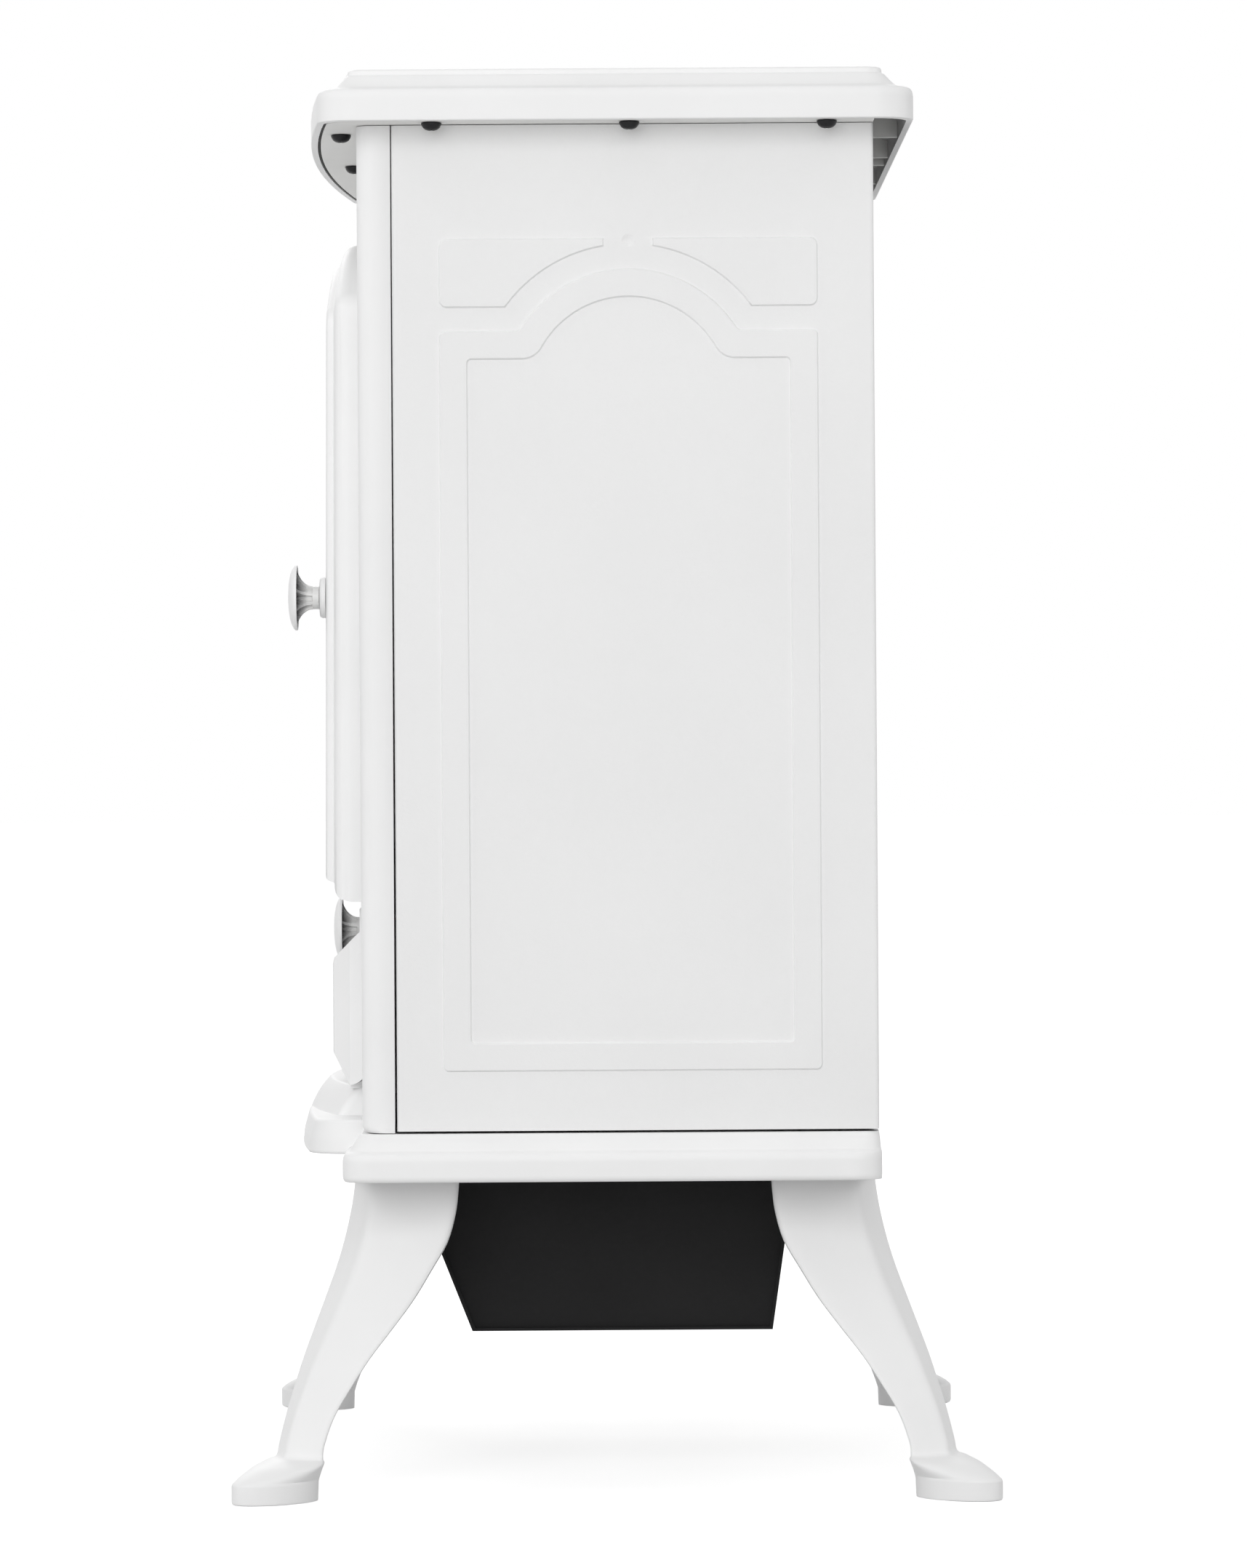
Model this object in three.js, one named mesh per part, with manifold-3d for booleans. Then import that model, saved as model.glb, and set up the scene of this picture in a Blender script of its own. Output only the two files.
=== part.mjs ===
// Electric stove heater: a fan heater in the form of a small cast stove, on four cabriole legs.
// Lengths are in millimetres, +Z is up and the front faces -Y. The floor is Z = 0.

import * as THREE from 'three';
import { mergeVertices } from 'three/addons/utils/BufferGeometryUtils.js';
import Module from 'manifold-3d';

const wasm = await Module();
wasm.setup();

// Overall form. A reach is how far a face lies from the middle, to the front or to the rear.
const OVERALL_HEIGHT = 599.5;
const LEG_HEIGHT = 133;
const BASE_HEIGHT = 20;
const TOP_HEIGHT = 22.8;
const BODY_HALF_WIDTH = 195;
const BODY_FRONT = 105.5;
const BODY_REAR = 111.8;

// Clearances and working values
const GAP = 0.3;
const OVERRUN = 2;
const SHEET = 1.2;
const MERGE_DISTANCE = 1e-4;
const WIDE_ARC_STEPS = 12;
const CORNER_STEPS = 4;
const ROUND_SIDES = 24;
const SMALL_SIDES = 10;
const TINY_SIDES = 6;

// Top cover, its underplate, rubber edge and screws
const TOP_SIDE_OVERHANG = 19;
const TOP_FRONT_OVERHANG = 15.9;
const TOP_REAR_OVERHANG = 16.8;
const TOP_BOW = 10.9;
const TOP_BOW_STEPS = 6;
const TOP_CORNER_RADIUS = 20;
const TOP_SETBACK = 15.6;
const TOP_WALL = 2.9;
const TOP_ROOF = 2.6;
const TOP_BAND_HEIGHT = 14;
const TOP_LEDGE = 6.6;
const TOP_RIB = 2;
const TOP_RIB_SHARES = [-0.6, -0.1, 0.1, 0.6];
const UNDERPLATE = 2.5;
const UNDERPLATE_DROP = 1.3;
const EDGE_SEAL = 0.6;
const EDGE_SEAL_HEIGHT = 4;
const SCREW_HEAD_RADIUS = 4.3;
const SCREW_HEAD_HEIGHT = 3.2;
const SCREW_RADIUS = 1.7;
const SCREW_LENGTH = 9;
const SCREW_BOSS_WALL = 2.4;
const SCREW_EDGE_DISTANCE = 9;
const SCREW_FRONT_DISTANCE = 7.8;
const SIDE_SCREW_SHARES = [-0.79, 0.085, 0.83];
const FRONT_SCREW_SHARES = [-0.78, 0, 0.78];
// Each row is a share of the setback and a share of the height, from the rim up to the thin top tier.
const TOP_PROFILE_SHARES = [
  [0.154, 0], [0.05, 0.05], [0, 0.18], [0, 0.48], [0.03, 0.555], [0.1, 0.6], [0.34, 0.627],
  [0.46, 0.662], [0.58, 0.735], [0.77, 0.877], [0.83, 0.89], [0.86, 0.96], [1, 1],
];

// Steel side panels with a pressed band and spandrels
const PANEL_SEAM_TOP = 0.4;
const PANEL_SEAM_BOTTOM = 1.5;
const PANEL_FLANGE = 12;
const PANEL_FLOOR_GAP = 1;
const PRESS_RISE = 1;
const PRESS_SLOPE = 0.8;
const PRESS_HALF_WIDTH = 79.8;
const PRESS_OFFSET = 2;
const PRESS_BAND = 11.5;
const PRESS_FOOT_MARGIN = 25.8;
const PRESS_TOP_MARGIN = 85.1;
const PRESS_ARCH_DROP = 28;
const PRESS_ARCH_RADIUS = 54;
const PRESS_INNER_FILLET = 9;
const PRESS_OUTER_FILLET = 3;
const PRESS_CORNER_RADIUS = 2.2;
const SPANDREL_GAP = 7.6;
const SPANDREL_RISE = 9.5;
const SPANDREL_HEIGHT = 29.3;
const SPANDREL_TIP = 10;
const SPANDREL_CORNER_RADIUS = 3.5;
const DIMPLE_RADIUS = 2.6;
const DIMPLE_DEPTH = 0.6;

// Rear panel, its slots and the cable gland
const SLOT_LENGTH = 110;
const SLOT_HEIGHT = 4;
const SLOT_PITCH = 12;
const SLOT_ROWS = 4;
const SLOT_COLUMNS = 2;
const SLOT_FIELD_SHARES = [0.14, 0.76];
const GLAND_HEX = 11;
const GLAND_DEPTH = 9;
const GLAND_BORE = 3.6;
const GLAND_X_SHARE = -0.74;
const GLAND_Z_SHARE = 0.06;

// Moulded front surround
const SURROUND_DEPTH = 14.5;
const SURROUND_WALL = 2.5;
const SURROUND_EDGE_RADIUS = 7;
const SURROUND_FOOT_RADIUS = 3.5;
const COLLAR = 2;
const FIREBOX_OPENING_INSET = 24;
const CONTROL_OPENING_HALF_WIDTH = 108;
const CONTROL_OPENING_RISE = 14.4;
const CONTROL_OPENING_HEIGHT = 50;

// Upper door
const SEAT_GAP = 0.4;
const DOOR_SIDE_MARGIN = 45;
const DOOR_FLAP_GAP = 3;
const DOOR_TOP_MARGIN = 35.1;
const DOOR_ARCH_RADIUS = 357.5;
const DOOR_THICKNESS = 15.6;
const DOOR_DRAFT_SHARE = 0.128;
const DOOR_EDGE_WIDTH = 12.5;
const DOOR_WINDOW_INSET = 38;
const DOOR_WINDOW_BEVEL = 4;
const DOOR_REBATE_INSET = 26;
const DOOR_REBATE_DEPTH = 8;
const DOOR_CHANNEL_INSET = 4;
const DOOR_CHANNEL_DEPTH = 8.5;
const GLASS_THICKNESS = 3;
const RETAINER_THICKNESS = 2.5;
const RETAINER_INSET = 40;
// Each row is a share of the edge width and a share of the door's thickness, from the seat to the front.
const DOOR_EDGE_SHARES = [
  [0, 0], [0, 0.15], [0.06, 0.36], [0.16, 0.57], [0.32, 0.71], [0.5, 0.755], [0.62, 0.86], [0.76, 0.95], [1, 1],
];

// Hinges of the door
const HINGE_OFFSET = 5.5;
const HINGE_RADIUS = 4;
const HINGE_PIN_RADIUS = 1.5;
const HINGE_KNUCKLE = 12;
const HINGE_LUG = 9;
const HINGE_HEIGHT_SHARES = [0.2, 0.76];
const HINGE_SEAM = 0.4;

// Pull knobs
const KNOB_RADIUS = 14;
const KNOB_LENGTH = 13.3;
const KNOB_RIM = 4;
const KNOB_NECK_RADIUS = 4.95;
const KNOB_RIBS = 8;
const KNOB_RIB = 1.2;
const KNOB_HOLLOW_DEPTH = 2.6;
const ROSETTE_RADIUS = 8.75;
const ROSETTE_THICKNESS = 2.7;
const DOOR_KNOB_MARGIN = 23;
const DOOR_KNOB_RISE = 130.4;

// Drop-down flap
const FLAP_SIDE_MARGIN = 65;
const FLAP_FOOT_GAP = 17.6;
const FLAP_HEIGHT = 76;
const FLAP_THICKNESS = 14.4;
const FLAP_MARGIN_THICKNESS = 2.5;
const FLAP_MARGIN = 10.2;
const FLAP_END_CHAMFER = 7.5;
const FLAP_WALL = 2.4;
const FLAP_KNOB_DROP = 11.9;
const FLAP_SCOOP_RADIUS = 20;
const FLAP_PIN_RADIUS = 2;
const FLAP_RIB = 4;
const FLAP_LUG = 6;
const FLAP_LUG_MARGIN = 15;
const FLAP_LUG_RADIUS = 4;

// Magnet catches
const MAGNET_RADIUS = 4;
const MAGNET_THICKNESS = 2;
const DOOR_MAGNET_MARGIN = 14;
const FLAP_MAGNET_X = 60;

// Control panel behind the flap
const CONTROL_PANEL_OVERLAP = 10;
const CONTROL_PANEL_THICKNESS = 2.5;
const ROCKER_WIDTH = 13;
const ROCKER_HEIGHT = 20;
const ROCKER_DEPTH = 9;
const ROCKER_RISE = 3.4;
const ROCKER_TILT = THREE.MathUtils.degToRad(8);
const ROCKER_PITCH = 30;
const ROCKER_X = -72;
const THERMOSTAT_X = 62;
const THERMOSTAT_RADIUS = 16;
const THERMOSTAT_HEIGHT = 11;
const THERMOSTAT_SHAFT = 3;
const THERMOSTAT_GRIPS = 16;
const THERMOSTAT_TURN = THREE.MathUtils.degToRad(270);

// Base tray with its hearth lip
const BASE_SIDE_STEP = 10;
const BASE_FRONT_STEP = 8.3;
const BASE_REAR_STEP = 1.2;
const BASE_CORNER_RADIUS = 12;
const BASE_WALL = 3;
const BASE_VENT_HALF_WIDTH = 70;
const BASE_VENT_HALF_DEPTH = 30;
const LEG_BOSS_RADIUS = 12;
const HEARTH_DEPTH = 32.2;
const HEARTH_HALF_WIDTH = 150;
const HEARTH_BOW = 6.7;
const HEARTH_CORNER_RADIUS = 20;
const HEARTH_FOOT = 9;
const HEARTH_LIP_HEIGHT = 24;
const HEARTH_FLAP_GAP = 1;
const HEARTH_BLOCK_HALF_WIDTH = 120;
const HEARTH_BLOCK_CORNER_RADIUS = 5;
const HEARTH_BLOCK_BOW = 15.1;
const HEARTH_NOSE_HEIGHT = 8;
const HEARTH_NOSE_ROUND = 5;
const HEARTH_OVAL_DEPTH = 31.7;
const HEARTH_OVAL_HEIGHT = 36.5;
const HEARTH_STEPS = 5;
// Each row is a share of the step and a share of the base's height, from the underside up.
const BASE_PROFILE_SHARES = [
  [0.1, 0], [0, 0.07], [0, 0.47], [0.07, 0.57], [0.22, 0.62], [0.36, 0.64], [0.62, 0.83], [0.9, 0.98], [0.97, 1],
];

// Cabriole legs, splayed at 45 degrees
const LEG_TOP_WIDTH = 45.2;
const LEG_SIDE_INSET = 32.4;
const LEG_FRONT_INSET = 3.2;
const LEG_REAR_INSET = 1;
const LEG_REACH = 49.6;
// Each row is a share of the leg's height, of its outward reach and of its top width.
const LEG_SHARES = [
  [1, 0, 1], [0.891, 0.04, 1.012], [0.8, 0.093, 0.993], [0.71, 0.162, 0.917],
  [0.62, 0.248, 0.847], [0.531, 0.335, 0.745], [0.442, 0.421, 0.635], [0.353, 0.496, 0.546],
  [0.2645, 0.565, 0.467], [0.1756, 0.623, 0.438], [0.135, 0.648, 0.452],
];
const LEG_FOOT_SHARES = [
  [0.125, 0.72, 0.52], [0.112, 0.82, 0.63], [0.0874, 0.901, 0.72], [0.05, 0.98, 0.78],
  [0.008, 1, 0.785], [0, 0.985, 0.75],
];
// One half of the leg's section, as shares of its half width: outward from the leg, then sideways.
const LEG_SECTION_SHARES = [[0.52, 0], [0.36, 0.36], [0.13, 0.78], [-0.06, 1], [-0.22, 0.8], [-0.34, 0.36]];
const FOOT_SECTION_SHARES = [[1, 0], [0.86, 0.29], [0.42, 0.56], [-0.1, 0.64], [-0.6, 0.52], [-0.88, 0.24]];

// Heater box under the base, with outlet grille, element and blower
const HEATER_HALF_WIDTH = 130;
const HEATER_DEPTH = 68.5;
const HEATER_FRONT_TOP = 88;
const HEATER_FRONT_FOOT = 61;
const HEATER_REAR_TOP = 78;
const HEATER_REAR_FOOT = 68;
const HEATER_RIM = 1.6;
const HEATER_FLANGE = 9;
const OUTLET_HALF_WIDTH = 98;
const OUTLET_HEIGHT = 46;
const OUTLET_FRAME = 4;
const OUTLET_DEPTH = 5;
const OUTLET_SLAT = 1.6;
const OUTLET_SLATS = 5;
const OUTLET_MULLIONS = 2;
const INTAKE_SLOTS = 10;
const INTAKE_SLOT_LENGTH = 34;
const INTAKE_SLOT_WIDTH = 4;
const ELEMENT_HALF_WIDTH = 92;
const ELEMENT_HEIGHT = 44;
const ELEMENT_DEPTH = 14;
const ELEMENT_FRAME = 3;
const ELEMENT_FINS = 14;
const ELEMENT_FIN = 1.2;
const BLOWER_RADIUS = 24;
const BLOWER_HALF_LENGTH = 66;
const BLOWER_Y = 22;
const BLOWER_BLADES = 10;
const BLOWER_BLADE = 1.2;
const BLOWER_BLADE_DEPTH = 7;
const BLOWER_DISC = 2;
const BLOWER_SHAFT_RADIUS = 2.5;
const BLOWER_SHAFT_REACH = 12;
const BLOWER_FLOOR_GAP = 7;
const MOTOR_RADIUS = 21;
const MOTOR_LENGTH = 32;
const BEARING_THICKNESS = 5;

// Firebox
const SHELF_DROP = 6.6;
const FIREBOX_SIDE_MARGIN = 35;
const FIREBOX_DEPTH = 96;
const FIREBOX_HEADROOM = 12;
const SCREEN_THICKNESS = 3;
const EMBER_HEIGHT = 28;
const EMBER_HALF_WIDTH = 112;
const EMBER_DEPTH = 70;
const EMBER_STEPS = 14;
const LOG_RADIUS = 15;
const LOG_LENGTH = 170;
const LOG_SIDES = 10;
const LOG_BACK_Y = -18;
const LOG_FRONT_Y = -56;
const LOG_TURN = THREE.MathUtils.degToRad(34);
const ROTOR_Z_ABOVE_SHELF = 58;
const ROTOR_BEHIND_SCREEN = 30;
const ROTOR_END_MARGIN = 40;
const ROTOR_RADIUS = 17;
const ROTOR_SHAFT = 2.5;
const ROTOR_BLADES = 8;
const ROTOR_BLADE = 1;
const ROTOR_BLADE_TURN = THREE.MathUtils.degToRad(37);
const ROTOR_MOTOR_RADIUS = 18;
const ROTOR_MOTOR_LENGTH = 14;
const ROTOR_POST = 14;
const LAMP_BOARD_HEIGHT = 3;
const LAMP_BOARD_DEPTH = 18;
const LAMP_RADIUS = 3;
const LAMP_COUNT = 4;

// Levels and half widths worked out from the sizes above
const BASE_TOP = LEG_HEIGHT + BASE_HEIGHT;
const TOP_RIM = OVERALL_HEIGHT - TOP_HEIGHT;
const UNDERPLATE_Z = TOP_RIM - UNDERPLATE_DROP;
const BODY_TOP = UNDERPLATE_Z - GAP;
const PANEL_FRONT = BODY_FRONT - SURROUND_DEPTH;
const PRESS_BOTTOM = BASE_TOP + PRESS_FOOT_MARGIN;
const PRESS_SHOULDER = BODY_TOP - PRESS_TOP_MARGIN;
const PRESS_ARCH_CENTRE = PRESS_SHOULDER - PRESS_ARCH_DROP;
const SPANDREL_BOTTOM = PRESS_SHOULDER + SPANDREL_RISE;
const SPANDREL_TOP = SPANDREL_BOTTOM + SPANDREL_HEIGHT;
const SEAT = BODY_FRONT + SEAT_GAP;
const FLAP_HALF_WIDTH = BODY_HALF_WIDTH - FLAP_SIDE_MARGIN;
const FLAP_BOTTOM = BASE_TOP + FLAP_FOOT_GAP;
const FLAP_TOP = FLAP_BOTTOM + FLAP_HEIGHT;
const FLAP_CHAMFER_TOP = FLAP_TOP - FLAP_MARGIN;
const FLAP_KNOB_Z = FLAP_TOP - FLAP_KNOB_DROP;
const FLAP_LUG_X = FLAP_HALF_WIDTH - FLAP_LUG_MARGIN;
const DOOR_HALF_WIDTH = BODY_HALF_WIDTH - DOOR_SIDE_MARGIN;
const DOOR_BOTTOM = FLAP_TOP + DOOR_FLAP_GAP;
const DOOR_PEAK = BODY_TOP - DOOR_TOP_MARGIN;
const DOOR_ARCH_CENTRE = DOOR_PEAK - DOOR_ARCH_RADIUS;
const DOOR_KNOB_X = DOOR_HALF_WIDTH - DOOR_KNOB_MARGIN;
const DOOR_KNOB_Z = DOOR_BOTTOM + DOOR_KNOB_RISE;
const DOOR_MAGNET_X = DOOR_HALF_WIDTH - DOOR_MAGNET_MARGIN;
const CONTROL_OPENING_BOTTOM = FLAP_BOTTOM + CONTROL_OPENING_RISE;
const HEARTH_TOP = FLAP_BOTTOM - HEARTH_FLAP_GAP;
const HEATER_TOP = BASE_TOP - BASE_WALL - GAP;
const HEATER_BOTTOM = LEG_HEIGHT - HEATER_DEPTH;
const SHELF_Z = FLAP_TOP - SHELF_DROP;
const FIREBOX_HALF_WIDTH = BODY_HALF_WIDTH - FIREBOX_SIDE_MARGIN;
const FIREBOX_TOP = DOOR_PEAK + FIREBOX_HEADROOM;
const ROTOR_HALF_LENGTH = FIREBOX_HALF_WIDTH - ROTOR_END_MARGIN;

// Finishes
const mouldedWhite = new THREE.MeshStandardMaterial({ color: 0xf1f1ef, roughness: 0.42, metalness: 0 });
const coatedWhiteSteel = new THREE.MeshStandardMaterial({ color: 0xeeeeec, roughness: 0.6, metalness: 0 });
const coatedBlackSteel = new THREE.MeshStandardMaterial({ color: 0x191919, roughness: 0.55, metalness: 0.1 });
const brightSteel = new THREE.MeshStandardMaterial({ color: 0xb9babc, roughness: 0.3, metalness: 1 });
const blackRubber = new THREE.MeshStandardMaterial({ color: 0x161616, roughness: 0.85, metalness: 0 });
const blackPlastic = new THREE.MeshStandardMaterial({ color: 0x1c1c1e, roughness: 0.5, metalness: 0 });
const darkGlass = new THREE.MeshStandardMaterial({ color: 0x16181a, roughness: 0.08, metalness: 0 });
const frostedScreen = new THREE.MeshStandardMaterial({ color: 0xd9d4cc, roughness: 0.7, metalness: 0 });
const barkResin = new THREE.MeshStandardMaterial({ color: 0x5a4334, roughness: 0.85, metalness: 0 });
const emberResin = new THREE.MeshStandardMaterial({ color: 0xa5461e, roughness: 0.6, metalness: 0 });
const circuitGreen = new THREE.MeshStandardMaterial({ color: 0x2f5d43, roughness: 0.5, metalness: 0 });

// Outlines are lists of [a, b] points, counter-clockwise. Along X they are [y, z]. Along Y they are
// [x, z], and their level is the reach to the front. Along Z they are [x, y].
const AXES = {
  x: new THREE.Matrix4().makeBasis(
    new THREE.Vector3(0, 1, 0), new THREE.Vector3(0, 0, 1), new THREE.Vector3(1, 0, 0)),
  y: new THREE.Matrix4().makeBasis(
    new THREE.Vector3(1, 0, 0), new THREE.Vector3(0, 0, 1), new THREE.Vector3(0, -1, 0)),
  z: new THREE.Matrix4(),
};

// Turns a closed mesh into a solid for cutting and joining.
function solidOf(geometry) {
  const bare = new THREE.BufferGeometry();
  bare.setAttribute('position', geometry.getAttribute('position').clone());
  if (geometry.index) bare.setIndex(geometry.index.clone());
  const merged = mergeVertices(bare, MERGE_DISTANCE);
  const places = Float32Array.from(merged.getAttribute('position').array);
  const corners = [];
  for (let first = 0; first < merged.index.count; first += 3) {
    const [p, q, r] = [0, 1, 2].map((step) => merged.index.getX(first + step));
    if (p !== q && q !== r && r !== p) corners.push(p, q, r);
  }
  if (signedVolume(places, corners) < 0) corners.reverse();
  return new wasm.Manifold(new wasm.Mesh({
    numProp: 3,
    vertProperties: places,
    triVerts: Uint32Array.from(corners),
  }));
}

function signedVolume(places, corners) {
  const at = (corner) => new THREE.Vector3().fromArray(places, corner * 3);
  let sum = 0;
  for (let first = 0; first < corners.length; first += 3) {
    const [p, q, r] = [at(corners[first]), at(corners[first + 1]), at(corners[first + 2])];
    sum += p.dot(q.cross(r));
  }
  return sum;
}

// Gives the solid's mesh back, for the scene graph.
function geometryOf(solid) {
  const mesh = solid.getMesh();
  const geometry = new THREE.BufferGeometry();
  const places = new Float32Array(mesh.numVert * 3);
  for (let vertex = 0; vertex < mesh.numVert; vertex += 1) {
    for (let axis = 0; axis < 3; axis += 1) {
      places[vertex * 3 + axis] = mesh.vertProperties[vertex * mesh.numProp + axis];
    }
  }
  geometry.setAttribute('position', new THREE.BufferAttribute(places, 3));
  geometry.setIndex(Array.from(mesh.triVerts));
  geometry.computeVertexNormals();
  return geometry;
}

const mirrored = (solid) => solidOf(geometryOf(solid).scale(-1, 1, 1));
const join = (first, ...others) => others.reduce((sum, other) => sum.add(other), first);
const cut = (first, ...others) => others.reduce((rest, other) => rest.subtract(other), first);

// Points on an arc, both ends included. Angles are in turns of 360 degrees.
function arc(a, b, radius, from, to, steps) {
  const points = [];
  for (let step = 0; step <= steps; step += 1) {
    const angle = 2 * Math.PI * (from + ((to - from) * step) / steps);
    points.push([a + radius * Math.cos(angle), b + radius * Math.sin(angle)]);
  }
  return points;
}

const circle = (a, b, radius, sides) => arc(a, b, radius, 0, 1 - 1 / sides, sides - 1);
const rectangle = (a0, a1, b0, b1) => [[a0, b0], [a1, b0], [a1, b1], [a0, b1]];

// A rectangle with rounded corners.
function roundedRectangle(a0, a1, b0, b1, radius, steps = CORNER_STEPS) {
  return [
    ...arc(a1 - radius, b0 + radius, radius, 0.75, 1, steps),
    ...arc(a1 - radius, b1 - radius, radius, 0, 0.25, steps),
    ...arc(a0 + radius, b1 - radius, radius, 0.25, 0.5, steps),
    ...arc(a0 + radius, b0 + radius, radius, 0.5, 0.75, steps),
  ];
}

const contourOf = (outline) => outline.map(([a, b]) => new THREE.Vector2(a, b));

// A solid of one outline, from one level to another.
function prism(axis, outline, from, to) {
  const geometry = new THREE.ExtrudeGeometry(new THREE.Shape(contourOf(outline)), {
    depth: to - from, bevelEnabled: false,
  });
  geometry.translate(0, 0, from);
  geometry.applyMatrix4(AXES[axis]);
  return solidOf(geometry);
}

// A solid through rings of equal point counts. A level is a number, or a function of the point.
function loft(axis, rings) {
  const count = rings[0].outline.length;
  const places = [];
  rings.forEach(({ outline, level }) => outline.forEach(([a, b]) => {
    places.push(a, b, typeof level === 'function' ? level(a, b) : level);
  }));
  const corners = [];
  for (let low = 0; low < (rings.length - 1) * count; low += count) {
    for (let point = 0; point < count; point += 1) {
      const next = (point + 1) % count;
      const high = low + count;
      corners.push(low + point, low + next, high + next, low + point, high + next, high + point);
    }
  }
  const last = (rings.length - 1) * count;
  THREE.ShapeUtils.triangulateShape(contourOf(rings[0].outline), [])
    .forEach(([p, q, r]) => corners.push(r, q, p));
  THREE.ShapeUtils.triangulateShape(contourOf(rings.at(-1).outline), [])
    .forEach(([p, q, r]) => corners.push(last + p, last + q, last + r));
  const geometry = new THREE.BufferGeometry();
  geometry.setAttribute('position', new THREE.Float32BufferAttribute(places, 3));
  geometry.setIndex(corners);
  geometry.applyMatrix4(AXES[axis]);
  return solidOf(geometry);
}

// A turned solid about an axis through [a, b]. The profile is [radius, level] and ends on the axis.
function turned(axis, a, b, profile, sides) {
  const geometry = new THREE.LatheGeometry(contourOf(profile), sides);
  geometry.rotateX(Math.PI / 2);
  geometry.translate(a, b, 0);
  geometry.applyMatrix4(AXES[axis]);
  return solidOf(geometry);
}

const rod = (axis, a, b, radius, from, to, sides) => prism(axis, circle(a, b, radius, sides), from, to);

// A box between two corners.
function block([x0, x1], [y0, y1], [z0, z1]) {
  const geometry = new THREE.BoxGeometry(x1 - x0, y1 - y0, z1 - z0);
  geometry.translate((x0 + x1) / 2, (y0 + y1) / 2, (z0 + z1) / 2);
  return solidOf(geometry);
}

// The closed outline of a folded sheet whose outer face follows an open line of points.
function foldedSheet(points, thickness) {
  const sides = points.slice(1).map(([a, b], index) => {
    const run = new THREE.Vector2(a - points[index][0], b - points[index][1]).normalize();
    return new THREE.Vector2(-run.y, run.x);
  });
  const inner = points.map(([a, b], index) => {
    const before = sides[Math.max(index - 1, 0)];
    const after = sides[Math.min(index, sides.length - 1)];
    const mitre = before.clone().add(after).multiplyScalar(thickness / (1 + before.dot(after)));
    return [a + mitre.x, b + mitre.y];
  });
  return [...points].reverse().concat(inner);
}

// The front run of a plan outline: two rounded corners and, where asked, a bow between them.
function frontRun({ halfWidth, front, radius, bow = 0, bowSteps = 0 }) {
  const reach = halfWidth - radius;
  const bowed = [];
  for (let step = 1; step < bowSteps; step += 1) {
    const across = (2 * step) / bowSteps - 1;
    bowed.push([across * reach, -front - bow * (1 - across * across)]);
  }
  return [
    ...arc(-reach, radius - front, radius, 0.5, 0.75, CORNER_STEPS),
    ...bowed,
    ...arc(reach, radius - front, radius, 0.75, 1, CORNER_STEPS),
  ];
}

// A plan outline with four rounded corners.
function planOutline({ halfWidth, rear, radius, ...run }) {
  const reach = halfWidth - radius;
  return [
    ...frontRun({ halfWidth, radius, ...run }),
    ...arc(reach, rear - radius, radius, 0, 0.25, CORNER_STEPS),
    ...arc(-reach, rear - radius, radius, 0.25, 0.5, CORNER_STEPS),
  ];
}

const stove = new THREE.Group();
stove.name = 'stove_heater';

// Adds one named piece, built in place unless a position is given.
function add(parent, name, solid, material, position = [0, 0, 0]) {
  const mesh = new THREE.Mesh(geometryOf(solid), material);
  mesh.name = name;
  mesh.position.set(...position);
  parent.add(mesh);
  return mesh;
}

// Top cover
function topOutline(inset) {
  return planOutline({
    halfWidth: BODY_HALF_WIDTH + TOP_SIDE_OVERHANG - inset,
    front: BODY_FRONT + TOP_FRONT_OVERHANG - inset,
    rear: BODY_REAR + TOP_REAR_OVERHANG - inset,
    radius: Math.max(TOP_CORNER_RADIUS - inset, TOP_WALL),
    bow: TOP_BOW,
    bowSteps: TOP_BOW_STEPS,
  });
}

const screwPlaces = [
  ...[-1, 1].flatMap((side) => SIDE_SCREW_SHARES.map((share) => [
    side * (BODY_HALF_WIDTH + TOP_SIDE_OVERHANG - SCREW_EDGE_DISTANCE),
    share * BODY_REAR,
  ])),
  ...FRONT_SCREW_SHARES.map((share) => [share * BODY_HALF_WIDTH, -BODY_FRONT - SCREW_FRONT_DISTANCE]),
];

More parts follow.
